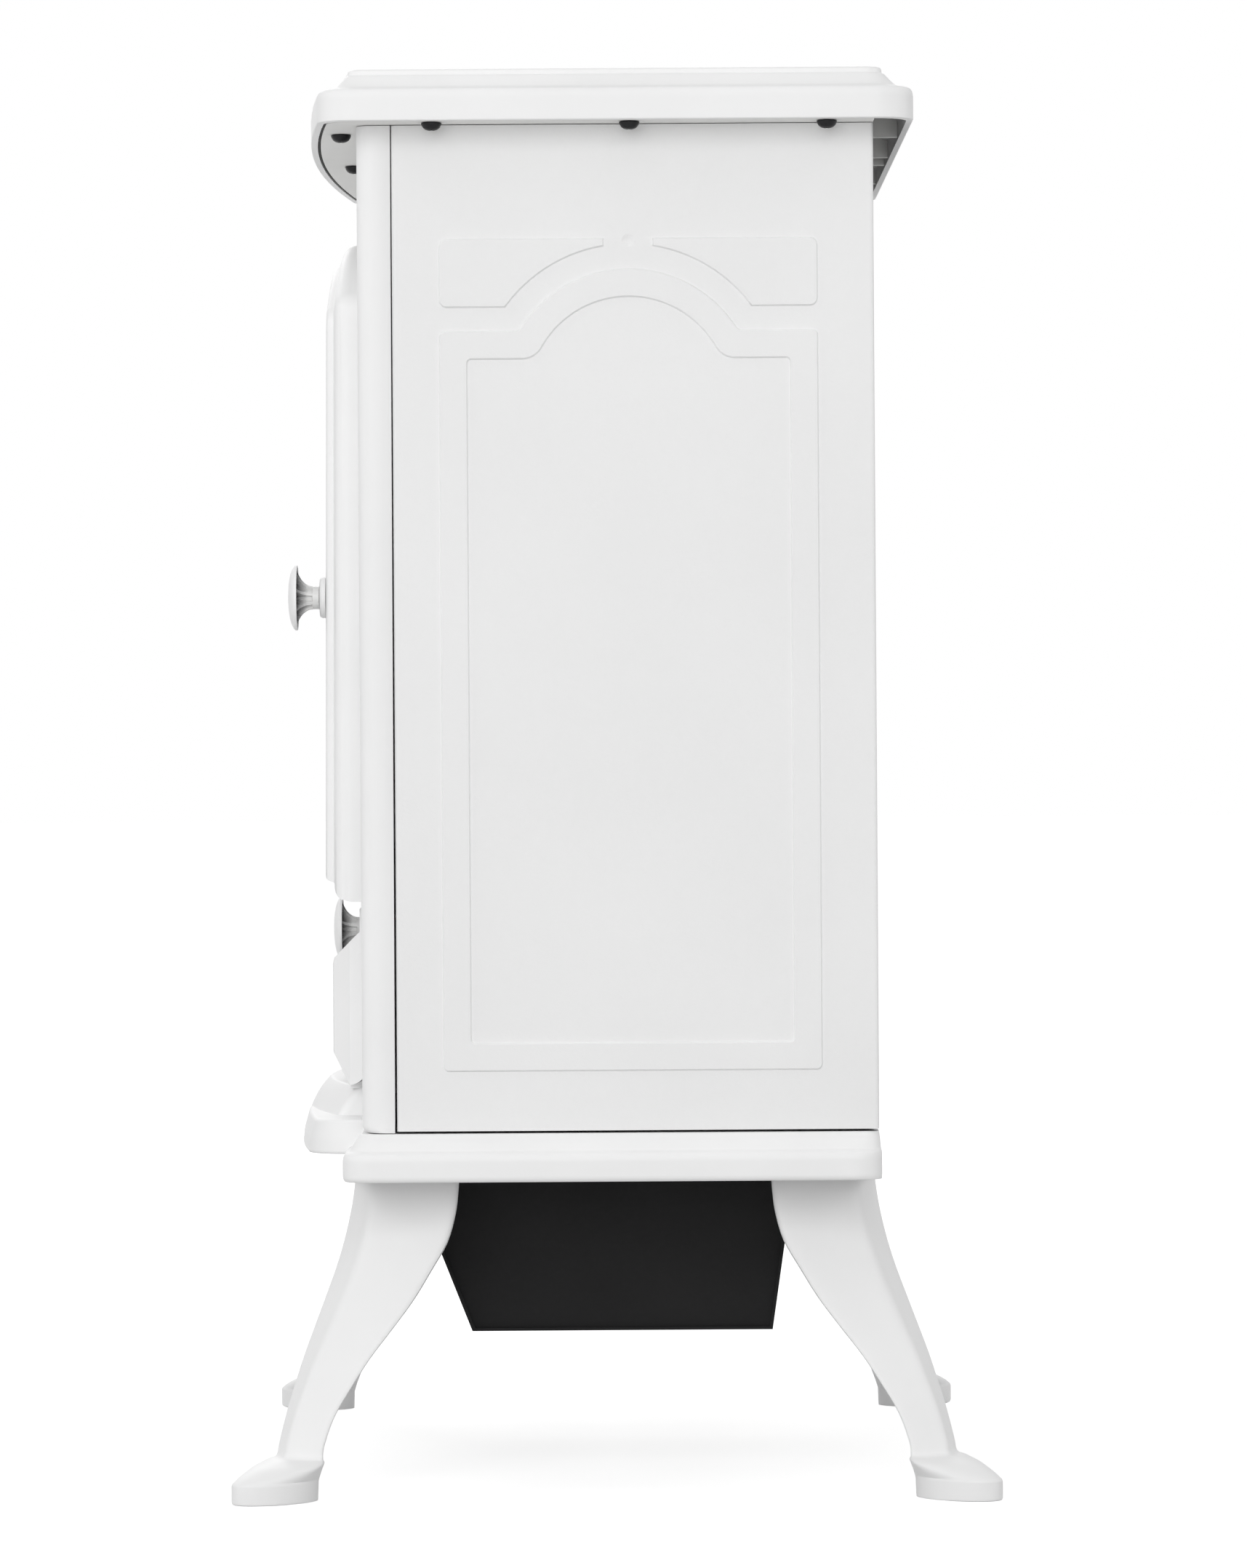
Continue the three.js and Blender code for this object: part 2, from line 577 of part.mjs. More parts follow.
function makeTopCover() {
  const outer = loft('z', TOP_PROFILE_SHARES.map(([inset, height]) => ({
    outline: topOutline(inset * TOP_SETBACK),
    level: TOP_RIM + height * TOP_HEIGHT,
  })));
  const bandInside = TOP_RIM + TOP_BAND_HEIGHT - TOP_WALL;
  const cavity = loft('z', [
    { outline: topOutline(TOP_WALL), level: TOP_RIM - OVERRUN },
    { outline: topOutline(TOP_WALL), level: bandInside - TOP_WALL },
    { outline: topOutline(TOP_WALL + TOP_LEDGE), level: bandInside },
    { outline: topOutline(TOP_WALL + TOP_SETBACK), level: OVERALL_HEIGHT - TOP_ROOF },
  ]);
  const ribs = TOP_RIB_SHARES.flatMap((share) => {
    const x = [share * BODY_HALF_WIDTH - TOP_RIB / 2, share * BODY_HALF_WIDTH + TOP_RIB / 2];
    const z = [UNDERPLATE_Z + EDGE_SEAL_HEIGHT + GAP, OVERALL_HEIGHT - TOP_ROOF / 2];
    const behind = [BODY_REAR + GAP, BODY_REAR + TOP_REAR_OVERHANG];
    return [
      block(x, [-BODY_FRONT - TOP_FRONT_OVERHANG - TOP_BOW, BODY_REAR + TOP_REAR_OVERHANG], z),
      block(x, behind, [TOP_RIM, z[1]]),
    ];
  });
  const bosses = screwPlaces.map(([x, y]) => rod(
    'z', x, y, SCREW_RADIUS + SCREW_BOSS_WALL,
    UNDERPLATE_Z + UNDERPLATE + GAP, OVERALL_HEIGHT - TOP_ROOF / 2, TINY_SIDES));
  const fittings = join(...ribs, ...bosses).intersect(outer);
  const holes = screwPlaces.map(([x, y]) => rod(
    'z', x, y, SCREW_RADIUS + GAP, UNDERPLATE_Z, UNDERPLATE_Z + SCREW_LENGTH + GAP, TINY_SIDES));
  return cut(join(cut(outer, cavity), fittings), ...holes);
}

// The rear overhang stays open below, so the underplate and its rubber edge end at the body's rear.
function behindBody() {
  const width = BODY_HALF_WIDTH + TOP_SIDE_OVERHANG;
  return block(
    [-width, width], [BODY_REAR, BODY_REAR + TOP_REAR_OVERHANG],
    [UNDERPLATE_Z - OVERRUN, UNDERPLATE_Z + EDGE_SEAL_HEIGHT + OVERRUN]);
}

function makeUnderplate() {
  const plate = prism(
    'z', topOutline(TOP_WALL + 2 * GAP + EDGE_SEAL), UNDERPLATE_Z, UNDERPLATE_Z + UNDERPLATE);
  const holes = screwPlaces.map(([x, y]) => rod(
    'z', x, y, SCREW_RADIUS + GAP, UNDERPLATE_Z - OVERRUN, UNDERPLATE_Z + UNDERPLATE + OVERRUN, TINY_SIDES));
  return cut(plate, behindBody(), ...holes);
}

// Rubber edge between the underplate and the cover's rim
function makeEdgeSeal() {
  const ring = (inset, from, to) => prism('z', topOutline(inset), from, to);
  const outer = ring(TOP_WALL + GAP, UNDERPLATE_Z + GAP, UNDERPLATE_Z + EDGE_SEAL_HEIGHT);
  const inner = ring(
    TOP_WALL + GAP + EDGE_SEAL, UNDERPLATE_Z - OVERRUN, UNDERPLATE_Z + EDGE_SEAL_HEIGHT + OVERRUN);
  return cut(outer, inner, behindBody());
}

// A domed screw head under the plate, on a plain shank
function makeTopScrew() {
  return turned('z', 0, 0, [
    [0, -SCREW_HEAD_HEIGHT],
    [SCREW_HEAD_RADIUS * 0.5, -SCREW_HEAD_HEIGHT * 0.9],
    [SCREW_HEAD_RADIUS * 0.86, -SCREW_HEAD_HEIGHT * 0.55],
    [SCREW_HEAD_RADIUS, 0],
    [SCREW_RADIUS, 0],
    [SCREW_RADIUS, SCREW_LENGTH - SCREW_RADIUS],
    [0, SCREW_LENGTH],
  ], TINY_SIDES + 2);
}

add(stove, 'top_cover', makeTopCover(), mouldedWhite);
add(stove, 'top_underplate', makeUnderplate(), mouldedWhite);
add(stove, 'top_edge_seal', makeEdgeSeal(), blackRubber);
screwPlaces.forEach(([x, y], index) => {
  add(stove, `top_screw_${index + 1}`, makeTopScrew(), coatedBlackSteel, [x, y, UNDERPLATE_Z - GAP]);
});

// Steel side panels. The press outlines lie about their own middle, a little before the panel's.
const PANEL_EDGE = PANEL_FRONT - GAP;
const PRESS_MIDDLE = (BODY_REAR - PANEL_EDGE) / 2 - PRESS_OFFSET;

// The arched outline of the pressed band, moved outwards by grow.
function pressOutline(halfWidth, bottom, shoulder, archRadius, fillet, corner) {
  const centreLevel = shoulder + fillet;
  const rise = centreLevel - PRESS_ARCH_CENTRE;
  const across = Math.sqrt((archRadius + fillet) ** 2 - rise ** 2);
  const lean = Math.atan2(rise, across) / (2 * Math.PI);
  const left = PRESS_MIDDLE;
  return [
    ...arc(left - halfWidth + corner, bottom + corner, corner, 0.5, 0.75, 2),
    ...arc(left + halfWidth - corner, bottom + corner, corner, 0.75, 1, 2),
    ...arc(left + halfWidth - corner, shoulder - corner, corner, 0, 0.25, 2),
    ...arc(left + across, centreLevel, fillet, 0.75, 0.5 + lean, CORNER_STEPS),
    ...arc(left, PRESS_ARCH_CENTRE, archRadius, lean, 0.5 - lean, WIDE_ARC_STEPS).slice(1, -1),
    ...arc(left - across, centreLevel, fillet, 1 - lean, 0.75, CORNER_STEPS),
    ...arc(left - halfWidth + corner, shoulder - corner, corner, 0.25, 0.5, 2),
  ];
}

const bandOuter = (grow) => pressOutline(
  PRESS_HALF_WIDTH + grow, PRESS_BOTTOM - grow, PRESS_SHOULDER + grow,
  PRESS_ARCH_RADIUS + grow, PRESS_OUTER_FILLET - grow, PRESS_CORNER_RADIUS + grow);
const bandInner = (grow) => pressOutline(
  PRESS_HALF_WIDTH - PRESS_BAND + grow, PRESS_BOTTOM + PRESS_BAND - grow,
  PRESS_SHOULDER - PRESS_BAND + grow, PRESS_ARCH_RADIUS - PRESS_BAND + grow,
  PRESS_INNER_FILLET - grow, PRESS_SLOPE + grow + GAP);

// One of the two spandrels above the arch, on the side given by a sign.
function spandrelOutline(side, grow) {
  const radius = PRESS_ARCH_RADIUS + SPANDREL_GAP - grow;
  const tip = SPANDREL_TIP - grow;
  const bottom = SPANDREL_BOTTOM - grow;
  const start = Math.asin((bottom - PRESS_ARCH_CENTRE) / radius) / (2 * Math.PI);
  const end = Math.acos(tip / radius) / (2 * Math.PI);
  const corner = SPANDREL_CORNER_RADIUS + grow;
  const edge = PRESS_HALF_WIDTH + grow - corner;
  const points = [
    ...arc(edge, bottom + corner, corner, 0.75, 1, 2),
    ...arc(edge, SPANDREL_TOP + grow - corner, corner, 0, 0.25, 2),
    [tip, SPANDREL_TOP + grow],
    ...arc(0, PRESS_ARCH_CENTRE, radius, end, start, WIDE_ARC_STEPS / 2),
  ];
  const placed = points.map(([a, b]) => [PRESS_MIDDLE + side * a, b]);
  return side > 0 ? placed : placed.reverse();
}

// Everything that is pressed out of the sheet, standing on the given level.
function pressedForms(level) {
  const foot = level - SHEET / 2;
  const sloped = (outline) => loft('x', [
    { outline: outline(0), level: foot },
    { outline: outline(0), level },
    { outline: outline(-PRESS_SLOPE), level: level + PRESS_RISE },
  ]);
  const field = loft('x', [
    { outline: bandInner(-PRESS_SLOPE), level: foot - OVERRUN },
    { outline: bandInner(-PRESS_SLOPE), level },
    { outline: bandInner(0), level: level + PRESS_RISE },
    { outline: bandInner(0), level: level + PRESS_RISE + OVERRUN },
  ]);
  return join(
    cut(sloped(bandOuter), field),
    sloped((grow) => spandrelOutline(1, grow)),
    sloped((grow) => spandrelOutline(-1, grow)));
}

function makeSidePanel() {
  const bottom = BASE_TOP + PANEL_FLOOR_GAP;
  const sheet = prism('z', foldedSheet([
    [BODY_HALF_WIDTH - PANEL_FLANGE, BODY_REAR],
    [BODY_HALF_WIDTH, BODY_REAR],
    [BODY_HALF_WIDTH, -PANEL_EDGE],
    [BODY_HALF_WIDTH - PANEL_FLANGE, -PANEL_EDGE],
  ].reverse(), SHEET), bottom, BODY_TOP);
  const dimple = rod(
    'x', PRESS_MIDDLE, SPANDREL_TOP, DIMPLE_RADIUS,
    BODY_HALF_WIDTH - DIMPLE_DEPTH, BODY_HALF_WIDTH + OVERRUN, SMALL_SIDES);
  return cut(
    join(sheet, pressedForms(BODY_HALF_WIDTH)),
    pressedForms(BODY_HALF_WIDTH - SHEET),
    dimple);
}

add(stove, 'side_panel_right', makeSidePanel(), coatedWhiteSteel);
add(stove, 'side_panel_left', mirrored(makeSidePanel()), coatedWhiteSteel);

// Rear panel and cable gland
const REAR_FACE = BODY_REAR - SHEET - GAP;
const glandPlace = [GLAND_X_SHARE * BODY_HALF_WIDTH, BASE_TOP + GLAND_Z_SHARE * (BODY_TOP - BASE_TOP)];

function makeRearPanel() {
  const halfWidth = BODY_HALF_WIDTH - SHEET - GAP;
  const height = BODY_TOP - BASE_TOP;
  const panel = block(
    [-halfWidth, halfWidth], [REAR_FACE - SHEET, REAR_FACE], [BASE_TOP + PANEL_FLOOR_GAP, BODY_TOP]);
  const slots = [];
  SLOT_FIELD_SHARES.forEach((share) => {
    for (let row = 0; row < SLOT_ROWS; row += 1) {
      for (let column = 0; column < SLOT_COLUMNS; column += 1) {
        const x = (column - (SLOT_COLUMNS - 1) / 2) * (SLOT_LENGTH + SLOT_PITCH);
        const z = BASE_TOP + share * height + row * SLOT_PITCH;
        slots.push(block(
          [x - SLOT_LENGTH / 2, x + SLOT_LENGTH / 2],
          [REAR_FACE - SHEET - OVERRUN, REAR_FACE + OVERRUN],
          [z, z + SLOT_HEIGHT]));
      }
    }
  });
  const glandHole = rod(
    'y', ...glandPlace, GLAND_BORE + 2 * SHEET + GAP,
    -REAR_FACE - OVERRUN, SHEET + OVERRUN - REAR_FACE, SMALL_SIDES);
  return cut(panel, ...slots, glandHole);
}

function makeGland() {
  const collar = prism('y', circle(...glandPlace, GLAND_HEX, 6), -REAR_FACE - GAP - GLAND_DEPTH / 2, -REAR_FACE - GAP);
  const nose = turned('y', ...glandPlace, [
    [0, -REAR_FACE - GLAND_DEPTH],
    [GLAND_HEX * 0.62, -REAR_FACE - GLAND_DEPTH],
    [GLAND_HEX * 0.78, -REAR_FACE - GLAND_DEPTH * 0.8],
    [GLAND_HEX * 0.78, -REAR_FACE - GLAND_DEPTH * 0.4],
    [GLAND_BORE + 2 * SHEET, -REAR_FACE - GLAND_DEPTH * 0.4],
    [GLAND_BORE + 2 * SHEET, -REAR_FACE + GLAND_DEPTH / 2],
    [0, -REAR_FACE + GLAND_DEPTH / 2],
  ], SMALL_SIDES);
  const bore = rod(
    'y', ...glandPlace, GLAND_BORE, -REAR_FACE - GLAND_DEPTH - OVERRUN, -REAR_FACE + GLAND_DEPTH, SMALL_SIDES);
  return cut(join(collar, nose), bore);
}

add(stove, 'rear_panel', makeRearPanel(), coatedBlackSteel);
add(stove, 'cable_gland', makeGland(), blackPlastic);

// Door outline, moved inwards by inset. The arch is one segment of a circle.
function doorOutline(inset) {
  const halfWidth = DOOR_HALF_WIDTH - inset;
  const radius = DOOR_ARCH_RADIUS - inset;
  const end = Math.acos(halfWidth / radius) / (2 * Math.PI);
  return [
    [-halfWidth, DOOR_BOTTOM + inset],
    [halfWidth, DOOR_BOTTOM + inset],
    ...arc(0, DOOR_ARCH_CENTRE, radius, end, 0.5 - end, WIDE_ARC_STEPS),
  ];
}

// Hinge places
const hingeX = -DOOR_HALF_WIDTH - HINGE_OFFSET;
const hingeReach = SEAT + DOOR_THICKNESS * 0.4;
const hingeLevels = HINGE_HEIGHT_SHARES.map((share) => DOOR_BOTTOM + share * (DOOR_PEAK - DOOR_BOTTOM));
const flapPivotReach = SEAT + FLAP_THICKNESS / 2;
const flapPivotZ = FLAP_BOTTOM + FLAP_THICKNESS / 2;

// A hinge lug about the door's axis, reaching back to the surround.
function surroundHingeLug(from, to) {
  const eye = rod('z', hingeX, -hingeReach, HINGE_RADIUS, from, to, SMALL_SIDES);
  const web = block(
    [hingeX - HINGE_RADIUS, hingeX + HINGE_RADIUS],
    [-hingeReach, -BODY_FRONT + SURROUND_WALL / 2],
    [from, to]);
  return join(eye, web);
}

function makeSurround() {
  const bottom = BASE_TOP + GAP;
  const rear = PANEL_EDGE + PANEL_SEAM_TOP;
  const outer = prism('z', [
    ...arc(-BODY_HALF_WIDTH + SURROUND_EDGE_RADIUS, SURROUND_EDGE_RADIUS - BODY_FRONT,
      SURROUND_EDGE_RADIUS, 0.5, 0.75, CORNER_STEPS),
    ...arc(BODY_HALF_WIDTH - SURROUND_EDGE_RADIUS, SURROUND_EDGE_RADIUS - BODY_FRONT,
      SURROUND_EDGE_RADIUS, 0.75, 1, CORNER_STEPS),
    [BODY_HALF_WIDTH, -rear],
    [-BODY_HALF_WIDTH, -rear],
  ], bottom, BODY_TOP).intersect(prism('x', [
    ...arc(SURROUND_FOOT_RADIUS - BODY_FRONT, bottom + SURROUND_FOOT_RADIUS,
      SURROUND_FOOT_RADIUS, 0.5, 0.75, CORNER_STEPS),
    [-rear + PANEL_SEAM_TOP - PANEL_SEAM_BOTTOM, bottom],
    [-rear, BODY_TOP],
    [-BODY_FRONT, BODY_TOP],
  ], -BODY_HALF_WIDTH - OVERRUN, BODY_HALF_WIDTH + OVERRUN));
  const inside = block(
    [SURROUND_WALL - BODY_HALF_WIDTH, BODY_HALF_WIDTH - SURROUND_WALL],
    [SURROUND_WALL - BODY_FRONT, OVERRUN - rear],
    [bottom + SURROUND_WALL, BODY_TOP - SURROUND_WALL]);
  const collarRear = rear + PANEL_SEAM_BOTTOM;
  const controlOpening = (grow) => rectangle(
    -CONTROL_OPENING_HALF_WIDTH - grow, CONTROL_OPENING_HALF_WIDTH + grow,
    CONTROL_OPENING_BOTTOM - grow, CONTROL_OPENING_BOTTOM + CONTROL_OPENING_HEIGHT + grow);
  const collars = join(
    prism('y', doorOutline(FIREBOX_OPENING_INSET - COLLAR), collarRear, BODY_FRONT - SURROUND_WALL / 2),
    prism('y', controlOpening(COLLAR), collarRear, BODY_FRONT - SURROUND_WALL / 2));
  const openings = join(
    prism('y', doorOutline(FIREBOX_OPENING_INSET), rear - OVERRUN, BODY_FRONT + OVERRUN),
    prism('y', controlOpening(0), rear - OVERRUN, BODY_FRONT + OVERRUN));
  const hingeLugs = hingeLevels.flatMap((level) => [
    surroundHingeLug(level - HINGE_SEAM - HINGE_LUG, level - HINGE_SEAM),
    surroundHingeLug(level + HINGE_KNUCKLE + HINGE_SEAM, level + HINGE_KNUCKLE + HINGE_SEAM + HINGE_LUG),
  ]);
  const hingeBores = hingeLevels.map((level) => rod(
    'z', hingeX, -hingeReach, HINGE_PIN_RADIUS + GAP,
    level - HINGE_SEAM - HINGE_LUG - OVERRUN, level + HINGE_KNUCKLE + HINGE_SEAM + HINGE_LUG + OVERRUN,
    SMALL_SIDES));
  const flapLugs = [-1, 1].map((side) => prism('x', [
    ...arc(-flapPivotReach, flapPivotZ, FLAP_LUG_RADIUS, 0.25, 0.75, SMALL_SIDES / 2),
    [-BODY_FRONT + SURROUND_WALL / 2, flapPivotZ - FLAP_LUG_RADIUS],
    [-BODY_FRONT + SURROUND_WALL / 2, flapPivotZ + FLAP_LUG_RADIUS],
  ], side * FLAP_LUG_X - FLAP_LUG / 2, side * FLAP_LUG_X + FLAP_LUG / 2));
  const flapBore = rod(
    'x', -flapPivotReach, flapPivotZ, FLAP_PIN_RADIUS + GAP,
    -FLAP_HALF_WIDTH, FLAP_HALF_WIDTH, SMALL_SIDES);
  const magnetPockets = [
    rod('y', DOOR_MAGNET_X, DOOR_KNOB_Z, MAGNET_RADIUS + GAP,
      BODY_FRONT - MAGNET_THICKNESS - GAP, BODY_FRONT + OVERRUN, SMALL_SIDES),
    rod('y', FLAP_MAGNET_X, FLAP_TOP - MAGNET_RADIUS - GAP, MAGNET_RADIUS + GAP,
      BODY_FRONT - MAGNET_THICKNESS - GAP, BODY_FRONT + OVERRUN, SMALL_SIDES),
  ];
  const shell = join(cut(outer, inside), collars, ...hingeLugs, ...flapLugs);
  return cut(shell, openings, ...hingeBores, flapBore, ...magnetPockets);
}

const makeMagnet = () => rod('y', 0, 0, MAGNET_RADIUS, 0, MAGNET_THICKNESS, SMALL_SIDES);

add(stove, 'front_surround', makeSurround(), mouldedWhite);
add(stove, 'door_magnet', makeMagnet(), blackPlastic,
  [DOOR_MAGNET_X, MAGNET_THICKNESS - BODY_FRONT, DOOR_KNOB_Z]);
add(stove, 'flap_magnet', makeMagnet(), blackPlastic,
  [FLAP_MAGNET_X, MAGNET_THICKNESS - BODY_FRONT, FLAP_TOP - MAGNET_RADIUS - GAP]);

// A straight pin with rounded ends
function makePin(axis, a, b, radius, from, to) {
  return turned(axis, a, b, [
    [0, from], [radius * 0.6, from], [radius, from + radius * 0.4],
    [radius, to - radius * 0.4], [radius * 0.6, to], [0, to],
  ], TINY_SIDES);
}

['lower', 'upper'].forEach((word, index) => {
  const level = hingeLevels[index];
  add(stove, `door_hinge_pin_${word}`, makePin(
    'z', hingeX, -hingeReach, HINGE_PIN_RADIUS,
    level - HINGE_SEAM - HINGE_LUG, level + HINGE_KNUCKLE + HINGE_SEAM + HINGE_LUG), brightSteel);
});
['left', 'right'].forEach((word, index) => {
  const side = index * 2 - 1;
  const ends = [side * (FLAP_LUG_X - FLAP_LUG / 2), side * (FLAP_LUG_X + FLAP_LUG / 2 + FLAP_RIB + FLAP_LUG / 2)];
  add(stove, `flap_hinge_pin_${word}`, makePin(
    'x', -flapPivotReach, flapPivotZ, FLAP_PIN_RADIUS, Math.min(...ends), Math.max(...ends)), brightSteel);
});

// Upper door: arched frame with a two-step edge, a bevelled window and a rebate for the pane
const door = new THREE.Group();
stove.add(door);
const doorMiddle = (DOOR_BOTTOM + DOOR_PEAK) / 2;
const doorFront = (depth, z) => (
  SEAT + depth * (1 + (DOOR_DRAFT_SHARE * (doorMiddle - z)) / (DOOR_PEAK - DOOR_BOTTOM)));

function makeDoorFrame() {
  const plate = loft('y', DOOR_EDGE_SHARES.map(([inset, depth]) => ({
    outline: doorOutline(inset * DOOR_EDGE_WIDTH),
    level: (x, z) => doorFront(depth * DOOR_THICKNESS, z),
  })));
  const front = SEAT + DOOR_THICKNESS;
  const window = prism('y', doorOutline(DOOR_WINDOW_INSET), SEAT - OVERRUN, front + OVERRUN);
  const bevel = loft('y', [
    { outline: doorOutline(DOOR_WINDOW_INSET), level: (x, z) => doorFront(DOOR_THICKNESS, z) - DOOR_WINDOW_BEVEL },
    { outline: doorOutline(DOOR_WINDOW_INSET - DOOR_WINDOW_BEVEL - OVERRUN),
      level: (x, z) => doorFront(DOOR_THICKNESS, z) + OVERRUN },
  ]);
  const rebate = prism('y', doorOutline(DOOR_REBATE_INSET), SEAT - OVERRUN, SEAT + DOOR_REBATE_DEPTH);
  const channel = cut(
    prism('y', doorOutline(DOOR_CHANNEL_INSET), SEAT - OVERRUN, SEAT + DOOR_CHANNEL_DEPTH),
    prism('y', doorOutline(DOOR_REBATE_INSET - SURROUND_WALL), SEAT - 2 * OVERRUN, SEAT + DOOR_THICKNESS));
  const knuckles = hingeLevels.map((level) => join(
    rod('z', hingeX, -hingeReach, HINGE_RADIUS, level, level + HINGE_KNUCKLE, SMALL_SIDES),
    block(
      [hingeX, -DOOR_HALF_WIDTH + SURROUND_WALL / 2],
      [-hingeReach - HINGE_RADIUS / 2, -hingeReach + HINGE_RADIUS],
      [level, level + HINGE_KNUCKLE])));
  const bores = hingeLevels.map((level) => rod(
    'z', hingeX, -hingeReach, HINGE_PIN_RADIUS + GAP, level - OVERRUN, level + HINGE_KNUCKLE + OVERRUN, SMALL_SIDES));
  return cut(join(cut(plate, window, bevel, rebate, channel), ...knuckles), ...bores);
}

const paneOutline = doorOutline(DOOR_REBATE_INSET + GAP);
const paneFront = SEAT + DOOR_REBATE_DEPTH - GAP;
const retainerFront = paneFront - GLASS_THICKNESS - GAP;

// Pull knob: a disc hollowed behind, with radial ribs, on a flared neck. Its foot is at level 0.
function makeKnob() {
  const rimFoot = KNOB_LENGTH - KNOB_RIM;
  const body = turned('y', 0, 0, [
    [0, 0],
    [KNOB_NECK_RADIUS, 0],
    [KNOB_NECK_RADIUS, rimFoot * 0.4],
    [KNOB_NECK_RADIUS * 1.3, rimFoot * 0.7],
    [KNOB_RADIUS * 0.76, rimFoot * 0.96],
    [KNOB_RADIUS, rimFoot],
    [KNOB_RADIUS, KNOB_LENGTH - KNOB_RIM * 0.3],
    [KNOB_RADIUS * 0.95, KNOB_LENGTH - KNOB_RIM * 0.08],
    [KNOB_RADIUS * 0.86, KNOB_LENGTH],
    [0, KNOB_LENGTH],
  ], ROUND_SIDES);
  const inner = KNOB_NECK_RADIUS * 1.75;
  const outer = KNOB_RADIUS - KNOB_RIB;
  const hollow = cut(
    rod('y', 0, 0, outer, 0, rimFoot + KNOB_HOLLOW_DEPTH, ROUND_SIDES),
    rod('y', 0, 0, inner, -OVERRUN, KNOB_LENGTH, ROUND_SIDES));
  const ribs = [];
  for (let rib = 0; rib < KNOB_RIBS; rib += 1) {
    const geometry = new THREE.BoxGeometry(outer, 2 * KNOB_LENGTH, KNOB_RIB);
    geometry.translate((inner + outer) / 2, 0, 0);
    geometry.rotateY((2 * Math.PI * rib) / KNOB_RIBS);
    ribs.push(solidOf(geometry));
  }
  return cut(body, cut(hollow, ...ribs));
}

function makeRosette() {
  return turned('y', 0, 0, [
    [0, 0],
    [ROSETTE_RADIUS, 0],
    [ROSETTE_RADIUS, ROSETTE_THICKNESS * 0.6],
    [ROSETTE_RADIUS * 0.93, ROSETTE_THICKNESS],
    [0, ROSETTE_THICKNESS],
  ], ROUND_SIDES);
}

add(door, 'door_frame', makeDoorFrame(), mouldedWhite);
add(door, 'door_glass', prism('y', paneOutline, paneFront - GLASS_THICKNESS, paneFront), darkGlass);
add(door, 'glass_retainer', cut(
  prism('y', paneOutline, retainerFront - RETAINER_THICKNESS, retainerFront),
  prism('y', doorOutline(RETAINER_INSET), retainerFront - RETAINER_THICKNESS - OVERRUN, retainerFront + OVERRUN),
), coatedBlackSteel);
const rosetteFoot = doorFront(DOOR_THICKNESS, DOOR_KNOB_Z) + GAP;
const knobFoot = rosetteFoot + ROSETTE_THICKNESS + GAP;
add(door, 'door_rosette', makeRosette(), mouldedWhite, [DOOR_KNOB_X, -rosetteFoot, DOOR_KNOB_Z]);
add(door, 'door_knob', makeKnob(), mouldedWhite, [DOOR_KNOB_X, -knobFoot, DOOR_KNOB_Z]);

// Drop-down flap: a raised, hollow panel with 45 degree chamfers, a finger scoop and a top margin
const flap = new THREE.Group();
stove.add(flap);
const flapFront = SEAT + FLAP_THICKNESS;
const marginFront = SEAT + FLAP_MARGIN_THICKNESS;
const flapChamferFoot = FLAP_CHAMFER_TOP - (flapFront - marginFront);

